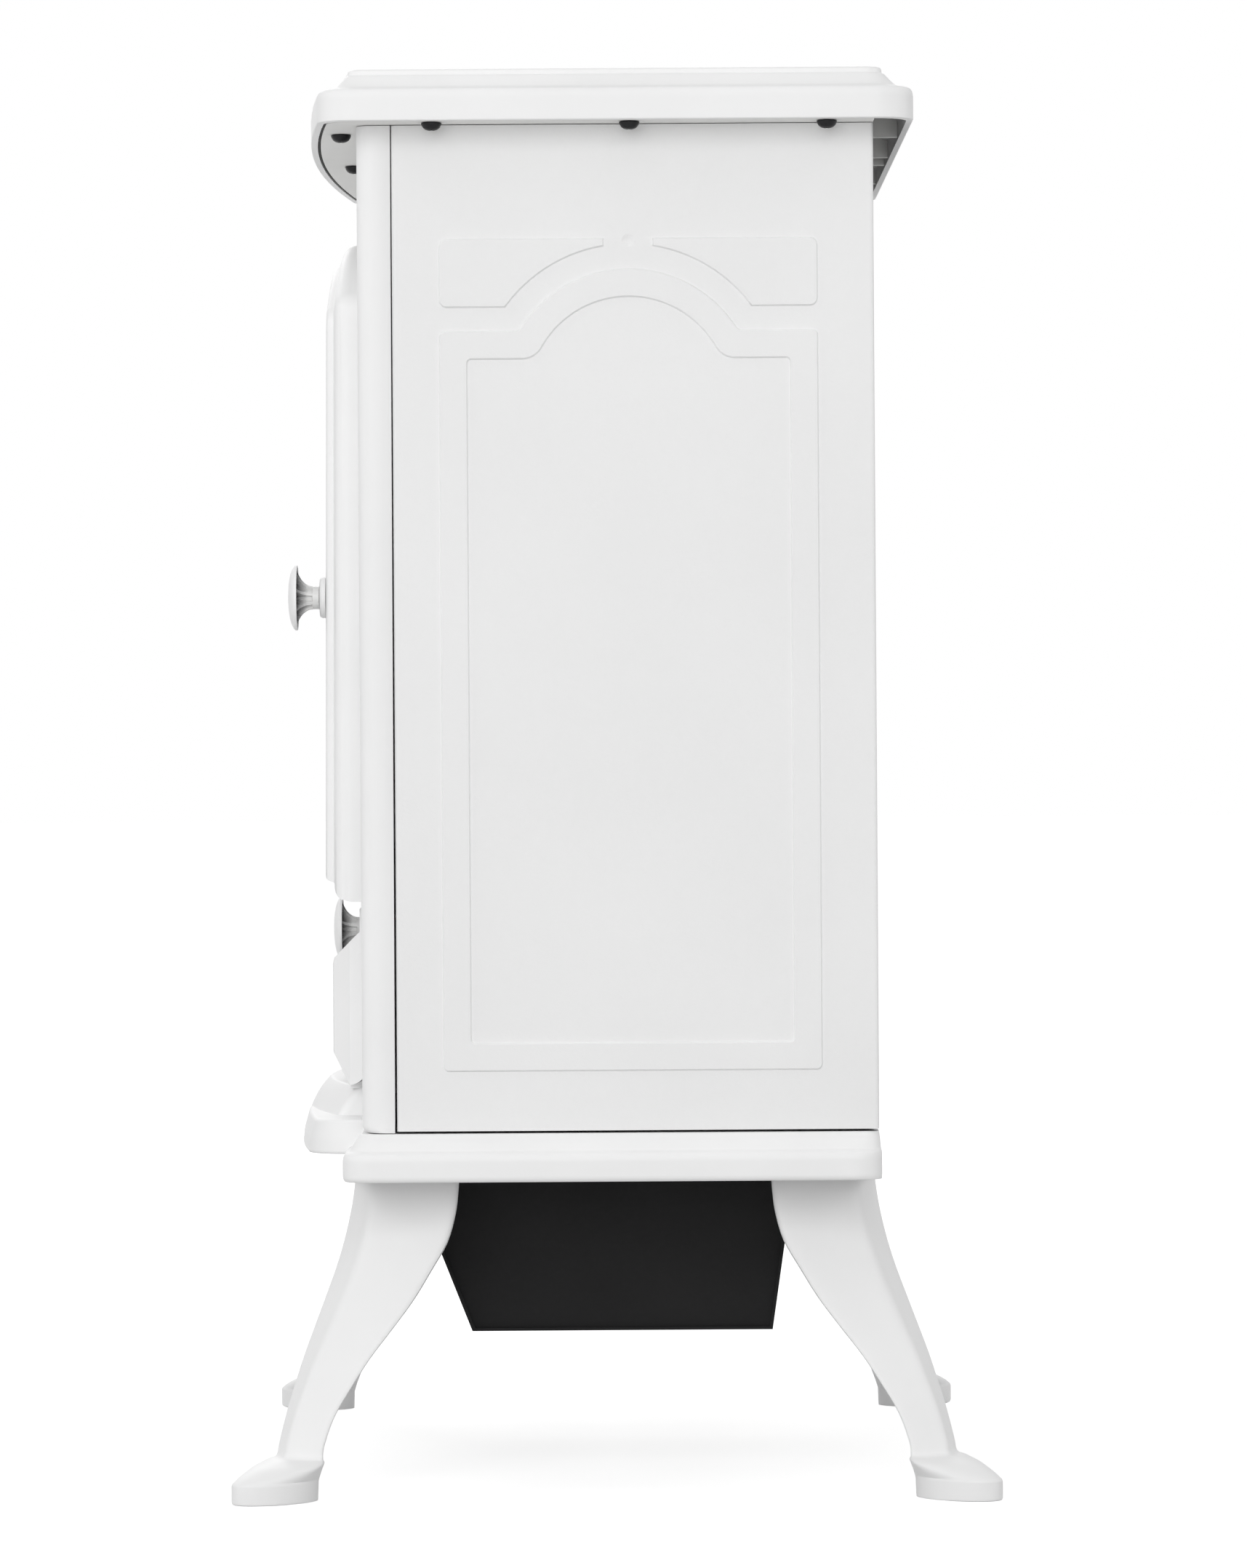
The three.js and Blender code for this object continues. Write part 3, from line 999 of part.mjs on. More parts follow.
function makeFlapPanel() {
  const roundFoot = arc(-flapPivotReach, flapPivotZ, FLAP_THICKNESS / 2, 0.75, 1, CORNER_STEPS);
  const profile = [
    ...roundFoot,
    [-SEAT, FLAP_TOP],
    [-marginFront, FLAP_TOP],
    [-marginFront, FLAP_CHAMFER_TOP],
    [-flapFront, flapChamferFoot],
    [-flapFront, flapPivotZ],
  ];
  const plan = (inset) => [
    [inset - FLAP_HALF_WIDTH, OVERRUN - SEAT],
    [inset - FLAP_HALF_WIDTH, FLAP_END_CHAMFER - flapFront],
    [inset - FLAP_HALF_WIDTH + FLAP_END_CHAMFER, inset - flapFront],
    [FLAP_HALF_WIDTH - FLAP_END_CHAMFER - inset, inset - flapFront],
    [FLAP_HALF_WIDTH - inset, FLAP_END_CHAMFER - flapFront],
    [FLAP_HALF_WIDTH - inset, OVERRUN - SEAT],
  ];
  const outer = prism('x', profile, -FLAP_HALF_WIDTH, FLAP_HALF_WIDTH)
    .intersect(prism('z', plan(0), FLAP_BOTTOM - OVERRUN, FLAP_TOP + OVERRUN));
  const hollowBottom = flapPivotZ + FLAP_WALL * 0.41;
  const hollow = prism('x', [
    [OVERRUN - SEAT, FLAP_BOTTOM - OVERRUN],
    [OVERRUN - SEAT, FLAP_CHAMFER_TOP - FLAP_WALL],
    [-SEAT, FLAP_CHAMFER_TOP - FLAP_WALL],
    [FLAP_WALL - flapFront, flapChamferFoot - FLAP_WALL * 0.41],
    [FLAP_WALL - flapFront, hollowBottom],
    [-flapPivotReach + FLAP_WALL, FLAP_BOTTOM - OVERRUN],
  ], -FLAP_HALF_WIDTH, FLAP_HALF_WIDTH)
    .intersect(prism('z', plan(FLAP_WALL), FLAP_BOTTOM - 2 * OVERRUN, FLAP_TOP));
  const ribs = [-1, 1].map((side) => {
    const ends = [side * (FLAP_LUG_X + FLAP_LUG / 2 + GAP), side * (FLAP_LUG_X + FLAP_LUG / 2 + GAP + FLAP_RIB)];
    return prism('x', profile, Math.min(...ends), Math.max(...ends))
      .intersect(prism('z', plan(FLAP_WALL / 2), FLAP_BOTTOM - OVERRUN, FLAP_TOP + OVERRUN))
      .intersect(block(
        [-FLAP_HALF_WIDTH, FLAP_HALF_WIDTH], [-flapFront, -SEAT],
        [FLAP_BOTTOM - OVERRUN, flapPivotZ + FLAP_THICKNESS]));
  });
  const scoop = rod('y', 0, FLAP_KNOB_Z, FLAP_SCOOP_RADIUS, marginFront, flapFront + OVERRUN, ROUND_SIDES);
  const scoopCup = rod(
    'y', 0, FLAP_KNOB_Z, FLAP_SCOOP_RADIUS + FLAP_WALL, SEAT, flapFront, ROUND_SIDES)
    .intersect(outer);
  const bore = rod(
    'x', -flapPivotReach, flapPivotZ, FLAP_PIN_RADIUS + GAP,
    -FLAP_LUG_X - FLAP_LUG / 2 - FLAP_RIB - FLAP_LUG, FLAP_LUG_X + FLAP_LUG / 2 + FLAP_RIB + FLAP_LUG, SMALL_SIDES);
  const lugNotches = [-1, 1].map((side) => block(
    [side * FLAP_LUG_X - FLAP_LUG / 2 - GAP, side * FLAP_LUG_X + FLAP_LUG / 2 + GAP],
    [-flapPivotReach - FLAP_LUG_RADIUS - GAP, OVERRUN - SEAT],
    [FLAP_BOTTOM - OVERRUN, flapPivotZ]));
  return cut(join(cut(outer, hollow), ...ribs, scoopCup), scoop, bore, ...lugNotches);
}

add(flap, 'flap_panel', makeFlapPanel(), mouldedWhite);
add(flap, 'flap_knob', join(
  makeKnob(), rod('y', 0, 0, ROSETTE_RADIUS, -ROSETTE_THICKNESS, 0, ROUND_SIDES),
), mouldedWhite, [0, -(marginFront + GAP + ROSETTE_THICKNESS), FLAP_KNOB_Z]);

// Control panel, three rocker switches and the thermostat knob
const controlFace = PANEL_EDGE - PANEL_SEAM_BOTTOM - GAP;
const controlMiddle = CONTROL_OPENING_BOTTOM + CONTROL_OPENING_HEIGHT / 2;
const rockerPlaces = [0, 1, 2].map((index) => ROCKER_X + index * ROCKER_PITCH);

function makeControlPanel() {
  const plate = prism('y', rectangle(
    -CONTROL_OPENING_HALF_WIDTH - CONTROL_PANEL_OVERLAP, CONTROL_OPENING_HALF_WIDTH + CONTROL_PANEL_OVERLAP,
    CONTROL_OPENING_BOTTOM - CONTROL_PANEL_OVERLAP,
    CONTROL_OPENING_BOTTOM + CONTROL_OPENING_HEIGHT + GAP),
  controlFace - CONTROL_PANEL_THICKNESS, controlFace);
  const bezels = rockerPlaces.map((x) => prism('y', rectangle(
    x - ROCKER_WIDTH / 2 - 2 * SHEET, x + ROCKER_WIDTH / 2 + 2 * SHEET,
    controlMiddle - ROCKER_HEIGHT / 2 - 2 * SHEET, controlMiddle + ROCKER_HEIGHT / 2 + 2 * SHEET),
  controlFace - ROCKER_DEPTH - 2 * SHEET, controlFace + SHEET));
  const wells = rockerPlaces.map((x) => prism('y', rectangle(
    x - ROCKER_WIDTH / 2 - GAP, x + ROCKER_WIDTH / 2 + GAP,
    controlMiddle - ROCKER_HEIGHT / 2 - SHEET, controlMiddle + ROCKER_HEIGHT / 2 + SHEET),
  controlFace - ROCKER_DEPTH - SHEET, controlFace + OVERRUN));
  const shaftHole = rod(
    'y', THERMOSTAT_X, controlMiddle, THERMOSTAT_SHAFT + GAP,
    controlFace - CONTROL_PANEL_THICKNESS - OVERRUN, controlFace + OVERRUN, SMALL_SIDES);
  return cut(join(plate, ...bezels), ...wells, shaftHole);
}

// A rocker with a shallow V face. It lies about its own pivot, tipped to the off side.
function makeRocker() {
  const half = ROCKER_HEIGHT / 2 - GAP;
  const outline = [
    [-ROCKER_RISE, -half], [ROCKER_DEPTH / 2, -half * 0.7], [ROCKER_DEPTH / 2, half * 0.7],
    [-ROCKER_RISE, half], [-ROCKER_RISE * 0.45, 0],
  ];
  return prism('x', outline, -ROCKER_WIDTH / 2, ROCKER_WIDTH / 2);
}

function makeThermostatKnob() {
  const body = turned('y', 0, 0, [
    [0, 0],
    [THERMOSTAT_RADIUS, 0],
    [THERMOSTAT_RADIUS, THERMOSTAT_HEIGHT * 0.3],
    [THERMOSTAT_RADIUS * 0.86, THERMOSTAT_HEIGHT * 0.36],
    [THERMOSTAT_RADIUS * 0.8, THERMOSTAT_HEIGHT * 0.9],
    [THERMOSTAT_RADIUS * 0.74, THERMOSTAT_HEIGHT],
    [0, THERMOSTAT_HEIGHT],
  ], THERMOSTAT_GRIPS);
  const pointer = block(
    [-SHEET, SHEET], [-THERMOSTAT_HEIGHT - SHEET, -THERMOSTAT_HEIGHT * 0.8],
    [0, THERMOSTAT_RADIUS * 0.7]);
  const shaft = rod(
    'y', 0, 0, THERMOSTAT_SHAFT, -CONTROL_PANEL_THICKNESS - ROCKER_DEPTH, THERMOSTAT_HEIGHT / 2, SMALL_SIDES);
  return join(body, pointer, shaft);
}

add(stove, 'control_panel', makeControlPanel(), blackPlastic);
['flame_rocker', 'low_heat_rocker', 'high_heat_rocker'].forEach((name, index) => {
  const rocker = add(stove, name, makeRocker(), blackPlastic, [rockerPlaces[index], -controlFace, controlMiddle]);
  rocker.rotation.x = ROCKER_TILT;
});
const thermostat = add(stove, 'thermostat_knob', makeThermostatKnob(), blackPlastic,
  [THERMOSTAT_X, -controlFace - GAP, controlMiddle]);
thermostat.rotation.y = -THERMOSTAT_TURN / 2;

// Base tray: sloped tier over a bullnose band, with the bowed hearth lip in the same moulding
function baseOutline(inset, wall) {
  return planOutline({
    halfWidth: BODY_HALF_WIDTH + BASE_SIDE_STEP * (1 - inset) - wall,
    front: BODY_FRONT + BASE_FRONT_STEP * (1 - inset) - wall,
    rear: BODY_REAR + BASE_REAR_STEP * (1 - inset) - wall,
    radius: BASE_CORNER_RADIUS - BASE_SIDE_STEP * inset * 0.6,
  });
}

// How far the hearth's oval front draws back at a level.
function hearthDraw(z) {
  const up = Math.max(z - LEG_HEIGHT - HEARTH_NOSE_HEIGHT, 0) / HEARTH_OVAL_HEIGHT;
  return HEARTH_OVAL_DEPTH * (1 - Math.sqrt(1 - up * up));
}

function hearthRing(z, halfWidth, radius, bow, inset = 0) {
  const front = BODY_FRONT + HEARTH_DEPTH - bow - hearthDraw(z) - inset;
  return {
    outline: [
      [inset - halfWidth, BASE_WALL - BODY_FRONT],
      ...frontRun({ halfWidth: halfWidth - inset, front, radius, bow, bowSteps: TOP_BOW_STEPS }),
      [halfWidth - inset, BASE_WALL - BODY_FRONT],
    ],
    level: z,
  };
}

function makeBaseTray() {
  const outer = loft('z', BASE_PROFILE_SHARES.map(([inset, height]) => ({
    outline: baseOutline(inset, 0),
    level: LEG_HEIGHT + height * BASE_HEIGHT,
  })));
  const cavity = loft('z', [
    { outline: baseOutline(0, BASE_WALL), level: LEG_HEIGHT - OVERRUN },
    { outline: baseOutline(0, BASE_WALL), level: LEG_HEIGHT + BASE_HEIGHT * 0.45 },
    { outline: baseOutline(1, BASE_WALL), level: BASE_TOP - BASE_WALL },
  ]);
  const legColumns = legPlaces.map(({ x, y }) => rod(
    'z', x, y, LEG_BOSS_RADIUS, LEG_HEIGHT, BASE_TOP - BASE_WALL / 2, TINY_SIDES));
  const vent = block(
    [-BASE_VENT_HALF_WIDTH, BASE_VENT_HALF_WIDTH], [-BASE_VENT_HALF_DEPTH, BASE_VENT_HALF_DEPTH],
    [BASE_TOP - BASE_WALL - OVERRUN, BASE_TOP + OVERRUN]);
  const lipTop = LEG_HEIGHT + HEARTH_LIP_HEIGHT;
  const lipFoot = LEG_HEIGHT + HEARTH_FOOT;
  const lipRing = (z, inset) => hearthRing(z, HEARTH_HALF_WIDTH, HEARTH_CORNER_RADIUS, HEARTH_BOW, inset);
  const lip = loft('z', [
    lipRing(lipFoot, HEARTH_NOSE_ROUND * 0.5),
    lipRing(lipFoot + HEARTH_NOSE_ROUND * 0.1, HEARTH_NOSE_ROUND * 0.15),
    lipRing(lipFoot + HEARTH_NOSE_ROUND * 0.4, 0),
    lipRing((lipFoot + lipTop) / 2, 0),
    lipRing(lipTop - SURROUND_WALL, 0),
    lipRing(lipTop, SURROUND_WALL),
  ]);
  const blockRings = [];
  for (let step = 0; step <= HEARTH_STEPS; step += 1) {
    const z = lipFoot + HEARTH_NOSE_ROUND / 2 + ((HEARTH_TOP - lipFoot - HEARTH_NOSE_ROUND / 2) * step) / HEARTH_STEPS;
    blockRings.push(hearthRing(z, HEARTH_BLOCK_HALF_WIDTH, HEARTH_BLOCK_CORNER_RADIUS, HEARTH_BLOCK_BOW));
  }
  const behind = block(
    [-BODY_HALF_WIDTH, BODY_HALF_WIDTH], [-SEAT, BODY_REAR], [BASE_TOP, HEARTH_TOP + OVERRUN]);
  const hearth = cut(join(lip, loft('z', blockRings)), behind);
  const clear = block(
    [-HEARTH_HALF_WIDTH, HEARTH_HALF_WIDTH], [BASE_WALL - BODY_FRONT, BODY_REAR],
    [LEG_HEIGHT - OVERRUN, BASE_TOP - BASE_WALL]);
  return cut(join(cut(outer, cavity), cut(hearth, clear), ...legColumns), vent);
}

// Legs: the section is set to the width and reach that the side view shows, then turned to 45 degrees
const legX = BODY_HALF_WIDTH + BASE_SIDE_STEP - LEG_SIDE_INSET - LEG_TOP_WIDTH / 2;
const legFront = -(BODY_FRONT + BASE_FRONT_STEP - LEG_FRONT_INSET - LEG_TOP_WIDTH / 2);
const legRear = BODY_REAR + BASE_REAR_STEP - LEG_REAR_INSET - LEG_TOP_WIDTH / 2;
const legPlaces = [
  { name: 'leg_front_right', x: legX, y: legFront, turn: -Math.PI / 4 },
  { name: 'leg_rear_right', x: legX, y: legRear, turn: Math.PI / 4 },
  { name: 'leg_rear_left', x: -legX, y: legRear, turn: (3 * Math.PI) / 4 },
  { name: 'leg_front_left', x: -legX, y: legFront, turn: (-3 * Math.PI) / 4 },
];

// A closed section from its half, scaled so that it spans the given width in the side view.
function legRing([heightShare, reachShare, widthShare], sectionShares) {
  const section = [
    ...sectionShares,
    ...sectionShares.slice(1).reverse().map(([out, aside]) => [out, -aside]),
  ];
  const outermost = Math.max(...section.map(([out, aside]) => (out + aside) * Math.SQRT1_2));
  const innermost = Math.min(...section.map(([out, aside]) => (out - aside) * Math.SQRT1_2));
  const width = widthShare * LEG_TOP_WIDTH;
  const scale = width / (outermost - innermost);
  const edge = LEG_TOP_WIDTH / 2 + reachShare * LEG_REACH;
  const shift = (edge - outermost * scale) * Math.SQRT2;
  return {
    outline: section.map(([out, aside]) => [shift + out * scale, aside * scale]),
    level: heightShare * (LEG_HEIGHT - GAP),
  };
}

const makeLeg = () => loft('z', [
  ...LEG_SHARES.map((row) => legRing(row, LEG_SECTION_SHARES)),
  ...LEG_FOOT_SHARES.map((row) => legRing(row, FOOT_SECTION_SHARES)),
].reverse());

add(stove, 'base_tray', makeBaseTray(), mouldedWhite);
legPlaces.forEach(({ name, x, y, turn }) => {
  add(stove, name, makeLeg(), mouldedWhite, [x, y, 0]).rotation.z = turn;
});

// Heater box: folded steel, open to the base above, with the outlet in its sloping front
const slopeAngle = Math.atan2(HEATER_FRONT_TOP - HEATER_FRONT_FOOT, LEG_HEIGHT - HEATER_BOTTOM);
const outletMiddle = [
  -(HEATER_FRONT_TOP + HEATER_FRONT_FOOT) / 2,
  (LEG_HEIGHT + HEATER_BOTTOM) / 2,
];

// Stands a solid's geometry on the sloping front. Its own front is at Y = 0.
function onSlope(geometry) {
  geometry.rotateX(slopeAngle);
  geometry.translate(0, outletMiddle[0], outletMiddle[1]);
  return geometry;
}

function slopedBlock([x0, x1], [y0, y1], [z0, z1]) {
  const geometry = new THREE.BoxGeometry(x1 - x0, y1 - y0, z1 - z0);
  geometry.translate((x0 + x1) / 2, (y0 + y1) / 2, (z0 + z1) / 2);
  return solidOf(onSlope(geometry));
}

function makeHeaterBox() {
  const profile = (inset) => [
    [inset - HEATER_FRONT_TOP, HEATER_TOP + (inset ? OVERRUN : 0)],
    [inset - HEATER_FRONT_TOP, LEG_HEIGHT],
    [inset - HEATER_FRONT_FOOT, HEATER_BOTTOM + inset],
    [HEATER_REAR_FOOT - inset, HEATER_BOTTOM + inset],
    [HEATER_REAR_TOP - inset, LEG_HEIGHT],
    [HEATER_REAR_TOP - inset, HEATER_TOP + (inset ? OVERRUN : 0)],
  ];
  const endPlate = HEATER_HALF_WIDTH - HEATER_RIM;
  const outer = prism('x', profile(0), -HEATER_HALF_WIDTH, HEATER_HALF_WIDTH);
  const inner = prism('x', profile(SHEET), SHEET - endPlate, endPlate - SHEET);
  const endRecesses = [-1, 1].map((side) => {
    const ends = [side * endPlate, side * (HEATER_HALF_WIDTH + OVERRUN)];
    return prism('x', profile(SHEET), Math.min(...ends), Math.max(...ends));
  });
  const flanges = [
    block([-endPlate, endPlate], [-HEATER_FRONT_TOP - HEATER_FLANGE, SHEET / 2 - HEATER_FRONT_TOP],
      [HEATER_TOP - SHEET, HEATER_TOP]),
    block([-endPlate, endPlate], [HEATER_REAR_TOP - SHEET / 2, HEATER_REAR_TOP + HEATER_FLANGE],
      [HEATER_TOP - SHEET, HEATER_TOP]),
  ];
  const outlet = slopedBlock(
    [-OUTLET_HALF_WIDTH, OUTLET_HALF_WIDTH], [-OVERRUN - SHEET, 2 * OVERRUN],
    [-OUTLET_HEIGHT / 2, OUTLET_HEIGHT / 2]);
  const slots = [];
  for (let slot = 0; slot < INTAKE_SLOTS; slot += 1) {
    const x = (slot - (INTAKE_SLOTS - 1) / 2) * 2.5 * INTAKE_SLOT_WIDTH;
    slots.push(block(
      [x - INTAKE_SLOT_WIDTH / 2, x + INTAKE_SLOT_WIDTH / 2],
      [BLOWER_Y - INTAKE_SLOT_LENGTH / 2, BLOWER_Y + INTAKE_SLOT_LENGTH / 2],
      [HEATER_BOTTOM - OVERRUN, HEATER_BOTTOM + SHEET + OVERRUN]));
  }
  return cut(join(cut(outer, inner, ...endRecesses), ...flanges), outlet, ...slots);
}

function makeOutletGrille() {
  const halfWidth = OUTLET_HALF_WIDTH - GAP;
  const halfHeight = OUTLET_HEIGHT / 2 - GAP;
  const frame = cut(
    slopedBlock([-halfWidth, halfWidth], [0, OUTLET_DEPTH], [-halfHeight, halfHeight]),
    slopedBlock(
      [OUTLET_FRAME - halfWidth, halfWidth - OUTLET_FRAME], [-OVERRUN, OUTLET_DEPTH + OVERRUN],
      [OUTLET_FRAME - halfHeight, halfHeight - OUTLET_FRAME]));
  const slats = [];
  const pitch = (2 * (halfHeight - OUTLET_FRAME)) / (OUTLET_SLATS + 1);
  for (let slat = 1; slat <= OUTLET_SLATS; slat += 1) {
    const z = OUTLET_FRAME - halfHeight + slat * pitch;
    slats.push(slopedBlock(
      [OUTLET_FRAME / 2 - halfWidth, halfWidth - OUTLET_FRAME / 2], [0, OUTLET_DEPTH],
      [z - OUTLET_SLAT / 2, z + OUTLET_SLAT / 2]));
  }
  const mullions = [];
  for (let mullion = 1; mullion <= OUTLET_MULLIONS; mullion += 1) {
    const x = -halfWidth + (2 * halfWidth * mullion) / (OUTLET_MULLIONS + 1);
    mullions.push(slopedBlock(
      [x - OUTLET_SLAT / 2, x + OUTLET_SLAT / 2], [OUTLET_DEPTH / 2, OUTLET_DEPTH],
      [OUTLET_FRAME / 2 - halfHeight, halfHeight - OUTLET_FRAME / 2]));
  }
  return join(frame, ...slats, ...mullions);
}

// Heating element: a frame of upright fins that stands on the floor of the box
function makeElement() {
  const y = [-HEATER_FRONT_FOOT + ELEMENT_DEPTH * 1.2, -HEATER_FRONT_FOOT + ELEMENT_DEPTH * 2.2];
  const z = [HEATER_BOTTOM + SHEET + GAP, HEATER_BOTTOM + SHEET + GAP + ELEMENT_HEIGHT];
  const frame = cut(
    block([-ELEMENT_HALF_WIDTH, ELEMENT_HALF_WIDTH], y, z),
    block(
      [ELEMENT_FRAME - ELEMENT_HALF_WIDTH, ELEMENT_HALF_WIDTH - ELEMENT_FRAME],
      [y[0] - OVERRUN, y[1] + OVERRUN], [z[0] + ELEMENT_FRAME, z[1] - ELEMENT_FRAME]));
  const fins = [];
  for (let fin = 1; fin <= ELEMENT_FINS; fin += 1) {
    const x = -ELEMENT_HALF_WIDTH + (2 * ELEMENT_HALF_WIDTH * fin) / (ELEMENT_FINS + 1);
    fins.push(block(
      [x - ELEMENT_FIN / 2, x + ELEMENT_FIN / 2], [y[0] + ELEMENT_FIN, y[1] - ELEMENT_FIN],
      [z[0] + ELEMENT_FRAME / 2, z[1] - ELEMENT_FRAME / 2]));
  }
  return join(frame, ...fins);
}

// Cross-flow blower: leaning blades between three discs on a shaft
const blowerZ = HEATER_BOTTOM + SHEET + BLOWER_FLOOR_GAP + BLOWER_RADIUS;

function makeBlowerWheel() {
  const blades = [];
  const lean = BLOWER_BLADE_DEPTH * 0.4;
  for (let blade = 0; blade < BLOWER_BLADES; blade += 1) {
    const angle = (2 * Math.PI * blade) / BLOWER_BLADES;
    const line = [0, 1].map((share) => {
      const radius = BLOWER_RADIUS - SHEET / 2 - BLOWER_BLADE_DEPTH * share;
      const aside = lean * share;
      return [
        BLOWER_Y + radius * Math.cos(angle) - aside * Math.sin(angle),
        blowerZ + radius * Math.sin(angle) + aside * Math.cos(angle),
      ];
    });
    blades.push(prism('x', foldedSheet(line, BLOWER_BLADE), -BLOWER_HALF_LENGTH, BLOWER_HALF_LENGTH));
  }
  const discs = [-1, 0, 1].map((side) => rod(
    'x', BLOWER_Y, blowerZ, BLOWER_RADIUS,
    side * BLOWER_HALF_LENGTH - BLOWER_DISC / 2, side * BLOWER_HALF_LENGTH + BLOWER_DISC / 2, SMALL_SIDES));
  const shaft = rod(
    'x', BLOWER_Y, blowerZ, BLOWER_SHAFT_RADIUS,
    -BLOWER_HALF_LENGTH - BLOWER_SHAFT_REACH, BLOWER_HALF_LENGTH + BLOWER_SHAFT_REACH, TINY_SIDES);
  return join(shaft, ...discs, ...blades);
}

// A post that stands on a floor and holds a shaft's end in a bore
function makePost(x0, x1, y, floor, z, bore, halfWidth) {
  const post = prism('x', [
    ...arc(y, z, halfWidth, 0, 0.5, SMALL_SIDES / 2),
    [y - halfWidth, floor],
    [y + halfWidth, floor],
  ], x0, x1);
  return cut(post, rod('x', y, z, bore, x0 - OVERRUN, x1 + OVERRUN, SMALL_SIDES));
}

function makeBlowerMotor() {
  const start = BLOWER_HALF_LENGTH + BLOWER_DISC + OVERRUN;
  const can = rod('x', BLOWER_Y, blowerZ, MOTOR_RADIUS, start, start + MOTOR_LENGTH, ROUND_SIDES);
  const foot = block(
    [start, start + MOTOR_LENGTH / 2], [BLOWER_Y - MOTOR_RADIUS, BLOWER_Y + MOTOR_RADIUS],
    [HEATER_BOTTOM + SHEET + GAP, blowerZ - MOTOR_RADIUS / 2]);
  const bore = rod(
    'x', BLOWER_Y, blowerZ, BLOWER_SHAFT_RADIUS + GAP,
    start - OVERRUN, BLOWER_HALF_LENGTH + BLOWER_SHAFT_REACH + GAP, SMALL_SIDES);
  return cut(join(can, foot), bore);
}

const bearingEnd = -BLOWER_HALF_LENGTH - BLOWER_DISC - OVERRUN;
add(stove, 'heater_box', makeHeaterBox(), coatedBlackSteel);
add(stove, 'outlet_grille', makeOutletGrille(), coatedBlackSteel);
add(stove, 'heating_element', makeElement(), brightSteel);
add(stove, 'blower_wheel', makeBlowerWheel(), blackPlastic);
add(stove, 'blower_motor', makeBlowerMotor(), brightSteel);
add(stove, 'blower_bearing', makePost(
  bearingEnd - BEARING_THICKNESS, bearingEnd, BLOWER_Y, HEATER_BOTTOM + SHEET + GAP, blowerZ,
  BLOWER_SHAFT_RADIUS + GAP, MOTOR_RADIUS / 2), brightSteel);

// Firebox shelf, liner and flame screen
const shelfTop = SHELF_Z + SHEET;
const linerFloor = shelfTop + GAP;
const linerFront = controlFace;
const screenY = FIREBOX_DEPTH - linerFront + GAP;

function makeShelf() {
  const halfWidth = BODY_HALF_WIDTH - SHEET - GAP;
  const rear = REAR_FACE - SHEET - GAP;
  const front = PANEL_EDGE - SHEET - GAP;
  const plate = block([-halfWidth, halfWidth], [-front, rear], [SHELF_Z, shelfTop]);
  const lips = [-1, 1].map((side) => {
    const ends = [side * (halfWidth - SHEET), side * halfWidth];
    return block(
      [Math.min(...ends), Math.max(...ends)], [-front + GAP + SHEET, rear - GAP - SHEET],
      [SHELF_Z - PANEL_FLANGE, shelfTop]);
  });
  return join(plate, ...lips);
}

function makeLiner() {
  const outer = block(
    [-FIREBOX_HALF_WIDTH, FIREBOX_HALF_WIDTH], [-linerFront, FIREBOX_DEPTH - linerFront],
    [linerFloor, FIREBOX_TOP]);
  const inner = block(
    [SHEET - FIREBOX_HALF_WIDTH, FIREBOX_HALF_WIDTH - SHEET],
    [-linerFront - OVERRUN, FIREBOX_DEPTH - linerFront + OVERRUN],
    [linerFloor + SHEET, FIREBOX_TOP - SHEET]);
  return cut(outer, inner);
}

// Ember bed: a low mound whose outline and height wander a little
function makeEmberBed() {
  const middle = -linerFront + OVERRUN + EMBER_DEPTH / 2;
  const floor = linerFloor + SHEET + GAP;
  const ring = (share, spread) => {
    const outline = [];
    for (let step = 0; step < EMBER_STEPS; step += 1) {
      const angle = (2 * Math.PI * step) / EMBER_STEPS;
      const wander = 1 + 0.05 * Math.sin(5 * angle + 3 * share) - 0.04 * Math.cos(3 * angle);
      outline.push([
        EMBER_HALF_WIDTH * spread * wander * Math.cos(angle),
        middle + (EMBER_DEPTH / 2) * spread * Math.min(wander, 1) * Math.sin(angle),
      ]);
    }
    return { outline, level: floor + share * EMBER_HEIGHT };
  };
  return loft('z', [ring(0, 1), ring(0.35, 0.97), ring(0.72, 0.88), ring(1, 0.74)]);
}

// A log: a bent, tapered, many-sided bar with sawn ends
function makeLog(radius, length, bend) {
  const rings = [];
  const steps = 6;
  for (let step = 0; step <= steps; step += 1) {
    const along = step / steps;
    const swell = 1 - 0.16 * along - 0.05 * Math.cos(9 * along);
    const aside = bend * Math.sin(Math.PI * along);
    rings.push({
      outline: circle(aside, 0, radius * swell, LOG_SIDES),
      level: (along - 0.5) * length,
    });
  }
  return loft('x', rings);
}

const emberTop = linerFloor + SHEET + GAP + EMBER_HEIGHT;
const logLevel = emberTop + GAP + LOG_RADIUS;

add(stove, 'chassis_shelf', makeShelf(), coatedBlackSteel);
add(stove, 'firebox_liner', makeLiner(), coatedBlackSteel);
add(stove, 'ember_bed', makeEmberBed(), emberResin);
add(stove, 'log_back', makeLog(LOG_RADIUS, LOG_LENGTH, LOG_RADIUS * 0.2), barkResin, [0, LOG_BACK_Y, logLevel]);
add(stove, 'log_front', makeLog(LOG_RADIUS, LOG_LENGTH * 0.86, -LOG_RADIUS * 0.2), barkResin,
  [-LOG_RADIUS, LOG_FRONT_Y, logLevel]);
const topLog = add(stove, 'log_top', makeLog(LOG_RADIUS * 0.8, LOG_LENGTH * 0.7, 0), barkResin, [
  LOG_RADIUS, (LOG_BACK_Y + LOG_FRONT_Y) / 2, logLevel + LOG_RADIUS * 1.8 + GAP]);
topLog.rotation.z = LOG_TURN;
add(stove, 'flame_screen', block(
  [-FIREBOX_HALF_WIDTH, FIREBOX_HALF_WIDTH], [screenY, screenY + SCREEN_THICKNESS],
  [linerFloor, FIREBOX_TOP]), frostedScreen);

